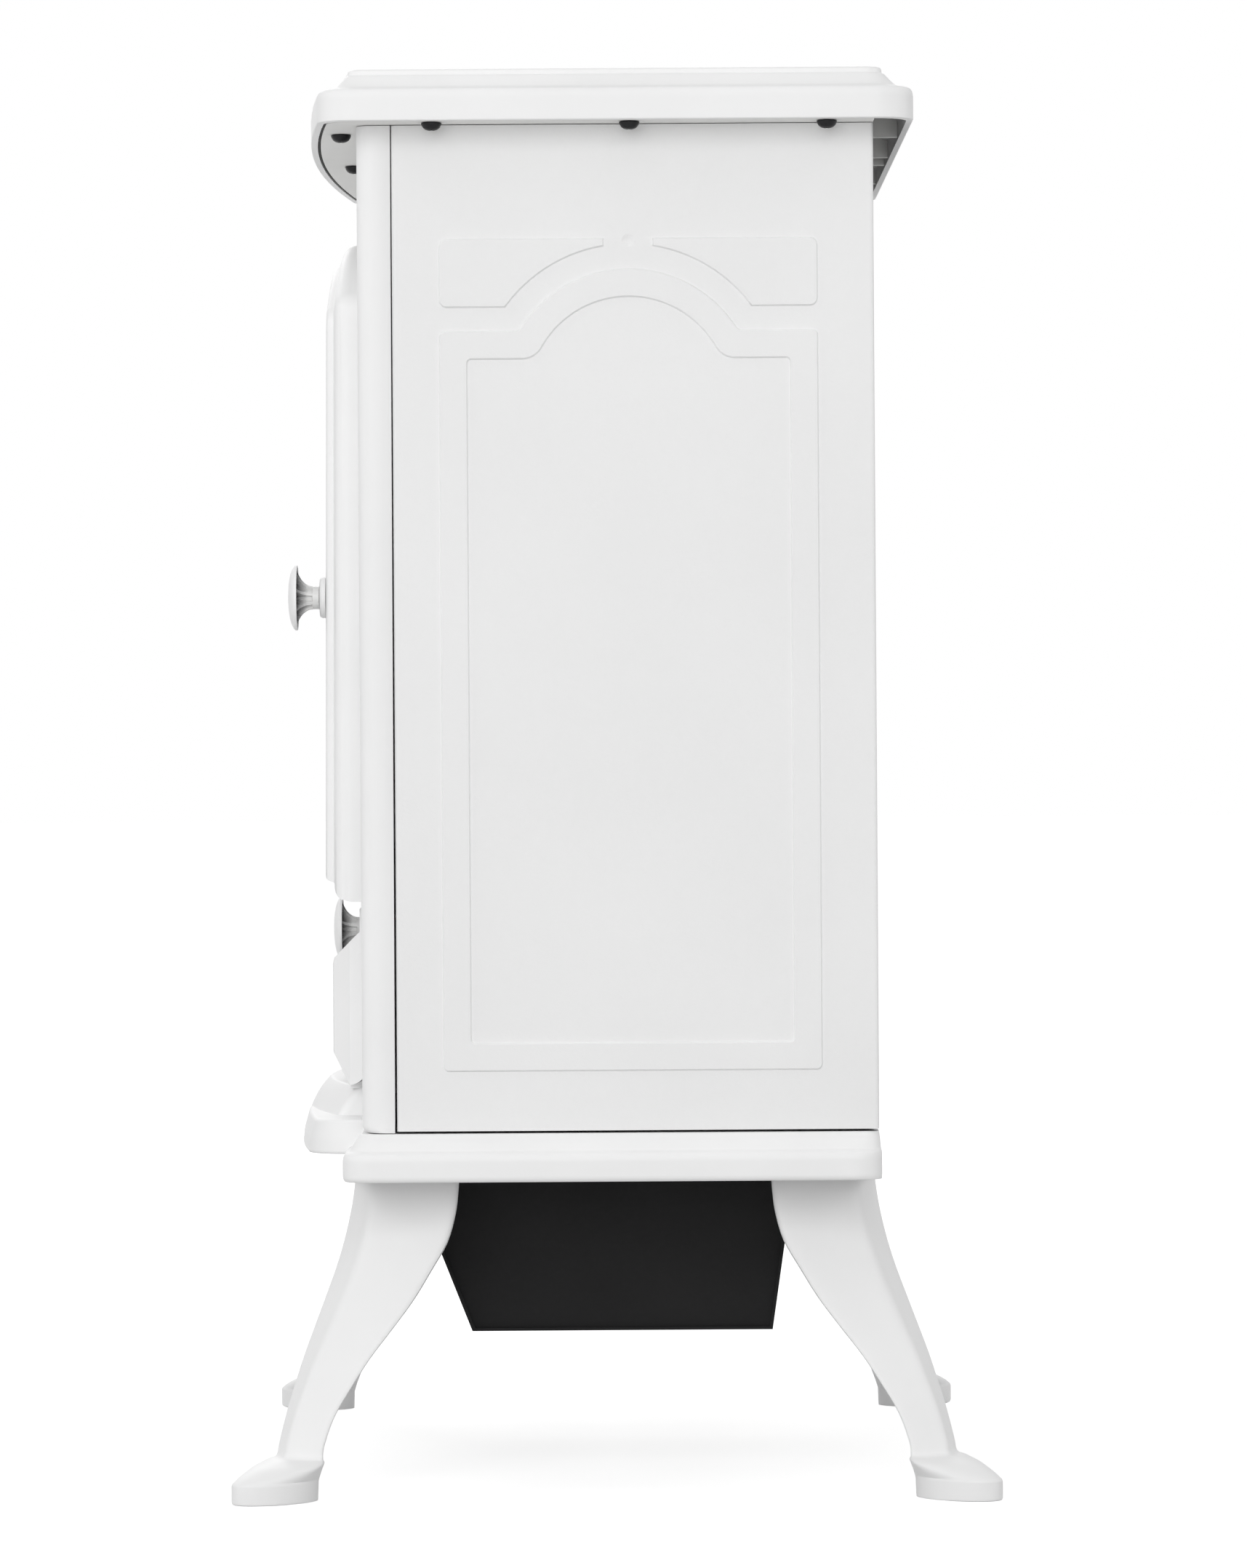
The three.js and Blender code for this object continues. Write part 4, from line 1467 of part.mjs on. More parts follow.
// Flame effect: a slow foil spindle behind the screen, its motor and bearing, and a row of lamps
const rotorY = screenY + SCREEN_THICKNESS + ROTOR_BEHIND_SCREEN;
const rotorZ = shelfTop + ROTOR_Z_ABOVE_SHELF;

function makeRotor() {
  const shaft = rod(
    'x', rotorY, rotorZ, ROTOR_SHAFT, -ROTOR_HALF_LENGTH - ROTOR_POST, ROTOR_HALF_LENGTH + ROTOR_POST, SMALL_SIDES);
  const blades = [];
  const pitch = (2 * ROTOR_HALF_LENGTH) / ROTOR_BLADES;
  for (let blade = 0; blade < ROTOR_BLADES; blade += 1) {
    const x = -ROTOR_HALF_LENGTH + pitch * (blade + 0.5);
    const geometry = new THREE.BoxGeometry(pitch * 0.8, 2 * ROTOR_RADIUS, ROTOR_BLADE);
    geometry.rotateX(blade * ROTOR_BLADE_TURN);
    geometry.translate(x, rotorY, rotorZ);
    blades.push(solidOf(geometry));
  }
  return join(shaft, ...blades);
}

function makeRotorMotor() {
  const start = ROTOR_HALF_LENGTH + OVERRUN;
  const post = makePost(
    start, start + ROTOR_MOTOR_LENGTH / 3, rotorY, shelfTop + GAP, rotorZ, ROTOR_SHAFT + GAP, ROTOR_MOTOR_RADIUS * 0.8);
  const can = cut(
    rod('x', rotorY, rotorZ, ROTOR_MOTOR_RADIUS, start, start + ROTOR_MOTOR_LENGTH, ROUND_SIDES),
    rod('x', rotorY, rotorZ, ROTOR_SHAFT + GAP,
      start - OVERRUN, ROTOR_HALF_LENGTH + ROTOR_POST + GAP, SMALL_SIDES));
  return join(can, post);
}

function makeLampBoard() {
  const halfWidth = ROTOR_HALF_LENGTH;
  const board = block(
    [-halfWidth, halfWidth], [rotorY - LAMP_BOARD_DEPTH / 2, rotorY + LAMP_BOARD_DEPTH / 2],
    [shelfTop + GAP, shelfTop + GAP + LAMP_BOARD_HEIGHT]);
  const lamps = [];
  for (let lamp = 0; lamp < LAMP_COUNT; lamp += 1) {
    const x = -halfWidth + (2 * halfWidth * (lamp + 0.5)) / LAMP_COUNT;
    lamps.push(rod(
      'z', x, rotorY, LAMP_RADIUS, shelfTop + GAP, shelfTop + GAP + 2 * LAMP_BOARD_HEIGHT, TINY_SIDES));
  }
  return join(board, ...lamps);
}

add(stove, 'flame_rotor', makeRotor(), brightSteel);
add(stove, 'rotor_motor', makeRotorMotor(), brightSteel);
add(stove, 'rotor_bearing', makePost(
  -ROTOR_HALF_LENGTH - OVERRUN - BEARING_THICKNESS, -ROTOR_HALF_LENGTH - OVERRUN,
  rotorY, shelfTop + GAP, rotorZ, ROTOR_SHAFT + GAP, ROTOR_MOTOR_RADIUS / 2), brightSteel);
add(stove, 'lamp_board', makeLampBoard(), circuitGreen);

export default stove;
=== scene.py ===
"""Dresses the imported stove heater: finer visible pieces, finishes, floor, lamps and camera."""
import math
import random

import bmesh
import bpy
from mathutils import Matrix, Vector, noise
from mathutils.geometry import tessellate_polygon


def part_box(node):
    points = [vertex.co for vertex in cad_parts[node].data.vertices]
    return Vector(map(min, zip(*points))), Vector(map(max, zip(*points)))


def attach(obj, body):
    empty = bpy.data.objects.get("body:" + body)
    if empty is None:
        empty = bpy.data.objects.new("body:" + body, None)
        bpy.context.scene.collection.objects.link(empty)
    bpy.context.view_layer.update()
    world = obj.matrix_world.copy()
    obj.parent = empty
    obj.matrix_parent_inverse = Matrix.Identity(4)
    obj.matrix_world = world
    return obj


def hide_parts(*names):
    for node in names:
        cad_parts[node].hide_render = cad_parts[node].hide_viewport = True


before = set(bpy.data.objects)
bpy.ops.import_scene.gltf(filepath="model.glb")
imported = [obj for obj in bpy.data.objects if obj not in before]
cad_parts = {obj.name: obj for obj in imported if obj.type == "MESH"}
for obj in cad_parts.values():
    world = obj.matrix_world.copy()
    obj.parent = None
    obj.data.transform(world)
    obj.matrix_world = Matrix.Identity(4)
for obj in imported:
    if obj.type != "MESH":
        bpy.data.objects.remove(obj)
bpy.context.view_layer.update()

# Sizes in millimetres, as in the part's source. A reach is a distance to the front, along -Y.
MM = 0.001
GAP = 0.3
BODY_HALF = 195.0
BODY_FRONT = 105.5
BODY_REAR = 111.8
BODY_TOP = 576.4
BASE_FOOT = 133.0
BASE_TOP = 153.0
BASE_HALF = 205.0
BASE_FRONT = 113.8
BASE_REAR = 113.0
TOP_RIM = 576.7
TOP_HEIGHT = 22.8
TOP_HALF = 214.0
TOP_FRONT = 121.8
TOP_REAR = 128.6
TOP_LIP = 2.9
UNDERPLATE = 2.5
SIDE_SCREWS = (-73.4, 9.4, 92.1)
PANEL_EDGE = 90.7
SEAM_TOP = 91.1
SEAM_FOOT = 91.6
SEAT = 105.9
DOOR_HALF = 150.0
DOOR_BOTTOM = 249.6
DOOR_PEAK = 540.0
DOOR_ARCH = 357.5
DOOR_SHOULDER = 16.0
DOOR_THICKNESS = 15.6
DOOR_KNOB = (127.0, 380.0)
FLAP_HALF = 130.0
FLAP_BOTTOM = 170.6
FLAP_TOP = 246.6
FLAP_FRONT = SEAT + 14.4
FLAP_MARGIN_FRONT = SEAT + 2.5
FLAP_KNOB = (0.0, 234.7)
FLAP_ROUND = 7.2
FLAP_PIVOT = (-(SEAT + FLAP_ROUND), FLAP_BOTTOM + FLAP_ROUND)
KNOB_RADIUS = 14.0
KNOB_LENGTH = 13.3
ROSETTE_HEIGHT = 2.7
CONTROL_OPENING = (-108.0, 108.0, 185.0, 235.0)
CONTROL_FACE = 88.9
THERMOSTAT = (62.0, 210.0)


# Outlines and meshes
def arc(a, b, radius, start, end, steps):
    """Points on an arc, both ends included. Angles are in turns."""
    angles = [2 * math.pi * (start + (end - start) * step / steps) for step in range(steps + 1)]
    return [(a + radius * math.cos(angle), b + radius * math.sin(angle)) for angle in angles]


def circle(a, b, radius, sides):
    """A round outline, without its first point again."""
    return arc(a, b, radius, 0, 1, sides)[:-1]


def rectangle(a0, a1, b0, b1):
    """A square-cornered outline, counter-clockwise."""
    return [(a0, b0), (a1, b0), (a1, b1), (a0, b1)]


def rounded(points, radius, steps=4, closed=False):
    """Softens each corner of a line of points."""
    points = [Vector(point) for point in points]
    count = len(points)
    made = []
    for index, corner in enumerate(points):
        if not closed and index in (0, count - 1):
            made.append(tuple(corner))
            continue
        before, after = points[index - 1] - corner, points[(index + 1) % count] - corner
        reach = min(radius, before.length * 0.48, after.length * 0.48)
        first, last = corner + before.normalized() * reach, corner + after.normalized() * reach
        for step in range(steps + 1):
            share = step / steps
            point = first * (1 - share) ** 2 + corner * 2 * share * (1 - share) + last * share ** 2
            made.append(tuple(point))
    return made


def spline(points, steps, closed=False):
    """A smooth line through the points, of any dimension."""
    count = len(points)
    last = count if closed else count - 1
    made = []
    for index in range(last):
        if closed:
            four = [points[(index + shift) % count] for shift in (-1, 0, 1, 2)]
        else:
            four = [points[min(max(index + shift, 0), count - 1)] for shift in (-1, 0, 1, 2)]
        for step in range(steps):
            t = step / steps
            made.append(tuple(
                0.5 * (2 * q + (r - p) * t + (2 * p - 5 * q + 4 * r - s) * t * t
                       + (3 * q - p - 3 * r + s) * t ** 3)
                for p, q, r, s in zip(*four)))
    return made if closed else made + [tuple(points[-1])]


def place(axis, a, b, level):
    """A point of an outline in the stove's frame. Along Y the level is a reach."""
    return {"x": (level, a, b), "y": (a, -level, b), "z": (a, b, level)}[axis]


def loft(axis, rings, caps=(True, True), closed=False):
    """A skin through rings (outline, level) of equal counts. A level may be a function."""
    count = len(rings[0][0])
    points = [place(axis, a, b, level(a, b) if callable(level) else level)
              for outline, level in rings for a, b in outline]
    faces = []
    for low in range(len(rings) if closed else len(rings) - 1):
        high = (low + 1) % len(rings)
        for point in range(count):
            following = (point + 1) % count
            faces.append((low * count + point, low * count + following,
                          high * count + following, high * count + point))
    if not closed:
        if caps[0]:
            faces.append(tuple(reversed(range(count))))
        if caps[1]:
            faces.append(tuple(range((len(rings) - 1) * count, len(rings) * count)))
    return points, faces


def plate(axis, level, outline, holes=()):
    """A flat face with holes."""
    loops = [[Vector((a, b, 0)) for a, b in loop] for loop in (outline, *holes)]
    flat = [place(axis, point.x, point.y, level) for loop in loops for point in loop]
    return flat, [tuple(face) for face in tessellate_polygon(loops)]


def turned(axis, a, b, profile, sides):
    """A turned form about an axis through (a, b). The profile is (radius, level) from end to end."""
    return loft(axis, [(circle(a, b, radius, sides), level) for radius, level in profile])


def prism(axis, outline, low, high):
    """A straight form between two levels."""
    return loft(axis, [(outline, low), (outline, high)])


def bar(x, y, z):
    """A box between two corners, given as ranges."""
    return prism("z", rectangle(*x, *y), *z)


def shifted(part, offset, turn=0.0):
    """The same points, turned about Z and then moved."""
    matrix = Matrix.Translation(Vector(offset)) @ Matrix.Rotation(turn, 4, "Z")
    return [tuple(matrix @ Vector(point)) for point in part[0]], part[1]


def mesh_of(name, parts, weld=0.0):
    """One mesh of some parts, with its faces turned outwards. Points within the weld become one."""
    mesh = bpy.data.meshes.new(name)
    points, faces = [], []
    for part_points, part_faces in parts:
        faces += [tuple(len(points) + index for index in face) for face in part_faces]
        points += [tuple(value * MM for value in point) for point in part_points]
    mesh.from_pydata(points, [], faces)
    work = bmesh.new()
    work.from_mesh(mesh)
    if weld:
        bmesh.ops.remove_doubles(work, verts=work.verts, dist=weld * MM)
        bmesh.ops.dissolve_degenerate(work, edges=work.edges, dist=weld * MM / 2)
    bmesh.ops.recalc_face_normals(work, faces=work.faces)
    work.to_mesh(mesh)
    work.free()
    return mesh


def piece(name, parts, material, body, slot, nodes=(), sharp=35, bevel=0.0, solid=0.0, weld=0.01):
    """Makes one object of some parts, with its finish, its body and the nodes that it stands for."""
    mesh = mesh_of(name, parts, weld)
    made = bpy.data.objects.new(name, mesh)
    bpy.context.scene.collection.objects.link(made)
    mesh.materials.append(material)
    mesh.shade_smooth()
    if solid:
        shell = made.modifiers.new("thickness", "SOLIDIFY")
        shell.thickness, shell.offset = solid * MM, -1
    if bevel:
        edge = made.modifiers.new("edges", "BEVEL")
        edge.width, edge.segments, edge.limit_method = bevel * MM, 3, "ANGLE"
        edge.angle_limit = math.radians(sharp)
        mesh.set_sharp_from_angle(angle=math.pi)
    else:
        mesh.set_sharp_from_angle(angle=math.radians(sharp))
    weighted = made.modifiers.new("normals", "WEIGHTED_NORMAL")
    weighted.keep_sharp = True
    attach(made, body)
    if nodes:
        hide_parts(*nodes)
    return made


def carve(target, *cutters):
    """Cuts forms out of a piece and takes the cutters away."""
    for cutter in cutters:
        tool = bpy.data.objects.new("cutter", mesh_of("cutter", [cutter]))
        bpy.context.scene.collection.objects.link(tool)
        step = target.modifiers.new("cut", "BOOLEAN")
        step.operation, step.solver, step.object = "DIFFERENCE", "EXACT", tool
        others = [m for m in target.modifiers if m != step]
        shown = [m.show_viewport for m in others]
        for modifier in others:
            modifier.show_viewport = False
        bpy.context.view_layer.update()
        graph = bpy.context.evaluated_depsgraph_get()
        result = bpy.data.meshes.new_from_object(target.evaluated_get(graph))
        for modifier, state in zip(others, shown):
            modifier.show_viewport = state
        target.modifiers.remove(step)
        result.name = target.name
        target.data = result
        bpy.data.objects.remove(tool)
    target.data.shade_smooth()


# Finishes
NOISE = "ShaderNodeTexNoise"


def shade(code):
    """An sRGB hex value as linear light."""
    values = [int(code[index:index + 2], 16) / 255 for index in (0, 2, 4)]
    return [*(v / 12.92 if v <= 0.04045 else ((v + 0.055) / 1.055) ** 2.4 for v in values), 1.0]


def grain(size):
    """The texture scale that gives a pattern its size in millimetres."""
    return 1 / (size * MM)


def grey(value):
    """A plain number as a colour."""
    return [value, value, value, 1.0]


def add(tree, kind, links=None, stops=(), **settings):
    """Adds a node with its settings, a ramp's stops, and its inputs as values or as links."""
    made = tree.nodes.new(kind)
    for key, value in settings.items():
        setattr(made, key, value)
    for index, (position, colour) in enumerate(stops):
        if index > 1:
            made.color_ramp.elements.new(position)
        made.color_ramp.elements[index].position = position
        made.color_ramp.elements[index].color = colour
    for socket, value in (links or {}).items():
        if isinstance(value, bpy.types.NodeSocket):
            tree.links.new(value, made.inputs[socket])
        else:
            made.inputs[socket].default_value = value
    return made


def finish(name, **surface):
    """An empty material with its surface shader, its tree and the piece's own coordinates."""
    material = bpy.data.materials.new(name)
    material.use_nodes = True
    tree = material.node_tree
    shader = tree.nodes["Principled BSDF"]
    for socket, value in surface.items():
        shader.inputs[socket.replace("_", " ")].default_value = value
    return material, tree, shader, add(tree, "ShaderNodeTexCoord").outputs["Object"]


def coloured(tree, shader, pattern, colours, roughness=()):
    """Sets the colour and the roughness along a pattern. The stops are (position, value)."""
    for socket, stops, tone in (("Base Color", colours, shade), ("Roughness", roughness, grey)):
        if stops:
            spread = add(tree, "ShaderNodeValToRGB", {"Fac": pattern},
                         [(position, tone(value)) for position, value in stops])
            tree.links.new(spread.outputs["Color"], shader.inputs[socket])


def relief(tree, shader, height, depth, strength=1.0, under=None):
    """Raises the surface by a pattern, to a depth in millimetres."""
    links = {"Height": height, "Distance": depth * MM, "Strength": strength}
    if under is not None:
        links["Normal"] = under
    bump = add(tree, "ShaderNodeBump", links)
    tree.links.new(bump.outputs["Normal"], shader.inputs["Normal"])
    return bump.outputs["Normal"]


def tinted(tree, shader, where, size, low, high, rough):
    """Lets the colour and the roughness wander a little over a size in millimetres."""
    wander = add(tree, NOISE, {"Vector": where, "Scale": grain(size), "Detail": 3.0}).outputs["Fac"]
    coloured(tree, shader, wander, [(0.3, low), (0.7, high)], [(0.3, rough[0]), (0.7, rough[1])])


def moulded_abs(name, low, high, rough):
    """Injection-moulded ABS: even colour, a satin skin from an eroded tool, and slight sink waves."""
    material, tree, shader, where = finish(name, IOR=1.53)
    tinted(tree, shader, where, 60, low, high, rough)
    # The real tool texture is about 0.1 mm. It is drawn at 0.7 mm, so that it shows.
    texture = add(tree, NOISE, {"Vector": where, "Scale": grain(0.7), "Detail": 2.0})
    skin = relief(tree, shader, texture.outputs["Fac"], 0.02, 0.5)
    sink = add(tree, NOISE, {"Vector": where, "Scale": grain(35), "Detail": 1.0})
    relief(tree, shader, sink.outputs["Fac"], 0.12, 0.35, under=skin)
    return material


def powder_coat(name, low, high, rough, cell, depth, ior=1.5):
    """Powder coat on steel sheet: baked grains that leave an orange peel and small pips."""
    material, tree, shader, where = finish(name, IOR=ior)
    tinted(tree, shader, where, 90, low, high, rough)
    peel = add(tree, NOISE, {"Vector": where, "Scale": grain(cell), "Detail": 3.0})
    skin = relief(tree, shader, peel.outputs["Fac"], depth, 0.8)
    cells = add(tree, "ShaderNodeTexVoronoi", {"Vector": where, "Scale": grain(cell * 0.55)})
    pips = add(tree, "ShaderNodeValToRGB", {"Fac": cells.outputs["Distance"]},
               [(0.0, grey(1.0)), (0.45, grey(0.0))])
    relief(tree, shader, pips.outputs["Color"], depth * 0.5, 0.6, under=skin)
    return material


def plain_metal(name, colour, rough, stretch=(1, 1, 1), metallic=1.0):
    """Metal whose rolling or turning leaves fine lines along one way."""
    material, tree, shader, where = finish(name, Metallic=metallic)
    lines = add(tree, "ShaderNodeMapping", {"Vector": where, "Scale": stretch}).outputs["Vector"]
    streaks = add(tree, NOISE, {"Vector": lines, "Scale": grain(2.0), "Detail": 4.0}).outputs["Fac"]
    coloured(tree, shader, streaks, [(0.3, colour[0]), (0.7, colour[1])],
             [(0.2, rough[0]), (0.8, rough[1])])
    relief(tree, shader, streaks, 0.01, 0.3)
    return material


white_abs = moulded_abs("satin white moulded ABS", "EEEEEE", "F2F2F2", (0.5, 0.58))
# The same white ABS a little darker: painted shade for the underplate and the ribs below the top cover.
underside_abs_with_painted_shade = moulded_abs("matt white moulded ABS, underside with painted shade", "E4E4E2", "EAEAE8", (0.5, 0.6))
white_coat = powder_coat("white textured powder coat", "ECECEC", "F0F0F0", (0.6, 0.7), 1.6, 0.08)
black_coat = powder_coat("matt black powder coat", "141415", "1B1B1C", (0.5, 0.62), 1.1, 0.04)
# Silicone stove paint holds coarse pigment, so it shows hardly any gloss.
stove_paint = powder_coat("dead matt black stove paint", "0A0A0B", "101011", (0.8, 0.9), 1.3, 0.05, 1.4)
black_abs = moulded_abs("black moulded ABS", "161617", "1C1C1E", (0.38, 0.5))
zinc = plain_metal("zinc-plated steel", ("A9ACB0", "C3C6C9"), (0.26, 0.4), (1, 1, 6))
rolled_aluminium = plain_metal("rolled aluminium foil", ("C9CACB", "DFE0E0"), (0.18, 0.34), (1, 8, 1))
black_oxide = plain_metal("black oxide steel", ("0E0E10", "1A1A1C"), (0.32, 0.5), (1, 1, 1), 0.6)


def fine_grained(name, ior, tint, rough, wander, pores, depth, strength, **surface):
    """A dull material whose colour wanders over one size and whose pores have another."""
    material, tree, shader, where = finish(name, IOR=ior, **surface)
    tinted(tree, shader, where, wander, *tint, rough)
    fine = add(tree, NOISE, {"Vector": where, "Scale": grain(pores), "Detail": 2.0})
    relief(tree, shader, fine.outputs["Fac"], depth, strength)
    return material


def make_smoked_glass():
    """Float glass tinted grey in the melt: very smooth, and it darkens what is behind it."""
    material, tree, shader, where = finish(
        "smoked float glass", IOR=1.52, Transmission_Weight=1.0, Roughness=0.02)
    tint = add(tree, NOISE, {"Vector": where, "Scale": grain(150), "Detail": 1.0}).outputs["Fac"]
    coloured(tree, shader, tint, [(0.3, "CED2D4"), (0.7, "D4D8DA")])
    return material


def make_bark():
    """Cast resin logs, painted brown and dry-brushed grey on the ridges of the bark."""
    material, tree, shader, where = finish("painted bark resin", IOR=1.5)
    along = add(tree, "ShaderNodeMapping", {"Vector": where, "Scale": (0.25, 1, 1)}).outputs["Vector"]
    ridges = add(tree, NOISE, {"Vector": along, "Scale": grain(5.0), "Detail": 6.0,
                               "Roughness": 0.65}).outputs["Fac"]
    coloured(tree, shader, ridges, [(0.32, "1E140E"), (0.5, "4A3425"), (0.72, "8A7866")],
             [(0.3, 0.7), (0.7, 0.9)])
    relief(tree, shader, ridges, 1.2, 0.8)
    return material


def make_ember_lacquer():
    """Vacuum-formed embers: black crust with orange-red translucent lacquer in the hollows."""
    material, tree, shader, where = finish("lacquered embers", IOR=1.5)
    crust = add(tree, NOISE, {"Vector": where, "Scale": grain(9.0), "Detail": 5.0,
                              "Roughness": 0.6}).outputs["Fac"]
    coloured(tree, shader, crust,
             [(0.36, "D0541A"), (0.47, "7A2310"), (0.56, "1F1613"), (0.8, "5C5550")],
             [(0.4, 0.35), (0.6, 0.85)])
    relief(tree, shader, crust, 0.8, 0.8)
    return material


def make_board():
    """Glass-fibre circuit board: green lacquer, with the weave faintly showing."""
    material, tree, shader, where = finish("green circuit board", IOR=1.55)
    weave = add(tree, "ShaderNodeTexWave", {"Vector": where, "Scale": grain(3.0), "Distortion": 0.3})
    coloured(tree, shader, weave.outputs["Fac"], [(0.2, "1F4B33"), (0.8, "2C6444")],
             [(0.0, 0.35), (1.0, 0.5)])
    return material


def make_print():
    """Pad-printed white marks: thin, flat ink with slightly uneven cover."""
    material, tree, shader, where = finish("white pad-printed ink", IOR=1.5)
    tinted(tree, shader, where, 1.5, "D8D8D6", "E8E8E6", (0.5, 0.6))
    return material


def make_knob_hollow_shade(name, foot):
    """The back of a knob: white at the neck, darkening towards the disc as painted shade in the knob's
    hollow.
    """
    material, tree, shader, where = finish(f"knob back with painted hollow shade, {name}", IOR=1.53)
    depth = add(tree, "ShaderNodeSeparateXYZ", {"Vector": where}).outputs["Y"]
    speckle = add(tree, NOISE, {"Vector": where, "Scale": grain(0.9), "Detail": 3.0}).outputs["Fac"]
    # The colour darkens with depth towards the disc: painted shade under the knob's disc, mottled by a
    # fine noise.
    reach = add(tree, "ShaderNodeMapRange", {
        "Value": depth, "From Min": -(foot + 4) * MM, "From Max": -(foot + 11) * MM}).outputs["Result"]
    cover = add(tree, "ShaderNodeMath", {0: speckle, 1: 0.35, 2: reach},
                operation="MULTIPLY_ADD").outputs["Value"]
    coloured(tree, shader, cover, [(0.3, "E8E8E7"), (0.75, "A8A8A8"), (1.0, "3C3C3D")],
             [(0.2, 0.4), (1.0, 0.6)])
    relief(tree, shader, speckle, 0.02, 0.4)
    return material


# Extruded rubber edging is dull and a little dusty.
rubber = fine_grained("black edging rubber", 1.52, ("0B0B0B", "121212"), (0.78, 0.9), 12, 0.6, 0.02, 0.4)
# Ferrite is pressed and fired, which leaves it dark grey with fine pores.
ferrite = fine_grained("sintered ferrite", 1.9, ("2A2A2C", "38383A"), (0.5, 0.7), 2.0, 0.4, 0.04, 0.6)
# Cast acrylic blasted on one side spreads the light of the flame lamps.
frosted_acrylic = fine_grained("frosted cast acrylic", 1.49, ("B9B3A8", "C9C3B8"), (0.5, 0.62), 40, 0.8,
                               0.03, 0.5, Transmission_Weight=0.35)
smoked_glass = make_smoked_glass()
bark = make_bark()
ember_lacquer = make_ember_lacquer()
board_green = make_board()
print_ink = make_print()


def moulding(name, parts, nodes=(), body="stove", **edges):
    """A piece of satin white ABS."""
    return piece(name, parts, white_abs, body, "moulded_white", nodes, **edges)


# CAD nodes that are shown as they are
def make_smoother():
    """Joins a node's split corners and smooths its round faces, without a change to its mesh."""
    tree = bpy.data.node_groups.new("soft_rounds", "GeometryNodeTree")
    tree.interface.new_socket("Geometry", in_out="INPUT", socket_type="NodeSocketGeometry")
    tree.interface.new_socket("Geometry", in_out="OUTPUT", socket_type="NodeSocketGeometry")
    start = add(tree, "NodeGroupInput").outputs["Geometry"]
    joined = add(tree, "GeometryNodeMergeByDistance", {"Geometry": start, "Distance": 0.01 * MM})
    faces = add(tree, "GeometryNodeSetShadeSmooth",
                {"Geometry": joined.outputs["Geometry"], "Shade Smooth": True}, domain="FACE")
    angle = add(tree, "GeometryNodeInputMeshEdgeAngle").outputs["Unsigned Angle"]
    steep = add(tree, "FunctionNodeCompare", {"A": angle, "B": math.radians(38)},
                data_type="FLOAT", operation="GREATER_THAN").outputs["Result"]
    edges = add(tree, "GeometryNodeSetShadeSmooth",
                {"Geometry": faces.outputs["Geometry"], "Selection": steep, "Shade Smooth": False},
                domain="EDGE")
    add(tree, "NodeGroupOutput", {"Geometry": edges.outputs["Geometry"]})
    return tree


smoother = make_smoother()


def dress(material, *names):
    """Gives CAD nodes their finish and smooth rounds."""
    for name in names:
        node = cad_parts[name]
        node.data.materials.clear()
        node.data.materials.append(material)
        node.modifiers.new("rounds", "NODES").node_group = smoother


dress(ferrite, "door_magnet", "flap_magnet")
dress(zinc, "door_hinge_pin_lower", "door_hinge_pin_upper", "flap_hinge_pin_left",
      "flap_hinge_pin_right", "blower_motor", "blower_bearing", "rotor_motor", "rotor_bearing")
dress(rolled_aluminium, "flame_rotor", "heating_element")
dress(black_coat, "rear_panel", "glass_retainer", "chassis_shelf", "firebox_liner")
dress(stove_paint, "heater_box", "outlet_grille")
dress(black_abs, "cable_gland", "control_panel", "flame_rocker", "low_heat_rocker",
      "high_heat_rocker", "thermostat_knob", "blower_wheel")
dress(smoked_glass, "door_glass")
dress(frosted_acrylic, "flame_screen")
dress(board_green, "lamp_board")


# Top cover
def plan(half, front, rear, radius, bow=0.0, bow_steps=24, corner=8):
    """A plan outline with rounded corners and a bowed front, counter-clockwise."""
    reach = half - radius
    bowed = [((2 * step / bow_steps - 1) * reach,
              -front - bow * (1 - (2 * step / bow_steps - 1) ** 2)) for step in range(1, bow_steps)]
    return (arc(-reach, radius - front, radius, 0.5, 0.75, corner) + bowed
            + arc(reach, radius - front, radius, 0.75, 1, corner)
            + arc(reach, rear - radius, radius, 0, 0.25, corner)
            + arc(-reach, rear - radius, radius, 0.25, 0.5, corner))


def top_plan(inset):
    """The cover's outline, moved inwards. Its corners grow tighter on the way."""
    radius = max(16 - 0.7 * inset, 2.9)
    return plan(TOP_HALF - inset, TOP_FRONT - inset, TOP_REAR - inset, radius, 8.8)


def make_top():
    """The cover: a bullnose rim, a cove and a thin upper tier, hollow below with ribs."""
    shares = [(0, 0), (0, 0.46), (0.03, 0.555), (0.1, 0.6), (0.34, 0.627), (0.46, 0.662),
              (0.58, 0.735), (0.77, 0.877), (0.83, 0.885), (0.845, 0.975), (0.9, 1)]
    outer = [(inset * 15.6, TOP_RIM + height * TOP_HEIGHT) for inset, height in shares]
    outer = rounded([(TOP_LIP, TOP_RIM), *outer, (30, TOP_RIM + TOP_HEIGHT)], 0.9, 3)
    hollow = [(18.5, 596.9), (9.5, 587.8), (TOP_LIP, 584.9)]
    inner = rounded([*hollow, (TOP_LIP, TOP_RIM)], 1.0, 3)[:-1]
    moulding("top_cover_moulding", [loft("z", [(top_plan(inset), z) for inset, z in inner + outer])],
             ["top_cover"], sharp=32)
    # The ribs run from front to rear, a gap inside the hollow, with their foot above the lip.
    front, head, foot = 121.4, 581, TOP_RIM + 0.4
    climb = [(inset + GAP, z - GAP) for inset, z in reversed(hollow)]
    rib = [(BODY_REAR + GAP, head), (BODY_REAR + GAP, foot), (TOP_REAR - climb[0][0], foot)]
    rib += [(TOP_REAR - inset, z) for inset, z in climb]
    rib += [(inset - front, z) for inset, z in reversed(climb)] + [(climb[0][0] - front, head)]
    ribs = [prism("x", rib, share * BODY_HALF - 1, share * BODY_HALF + 1)
            for share in (-0.6, -0.1, 0.1, 0.6)]
    piece("top_cover_ribs", ribs, underside_abs_with_painted_shade, "stove", "moulded_white", bevel=0.4)


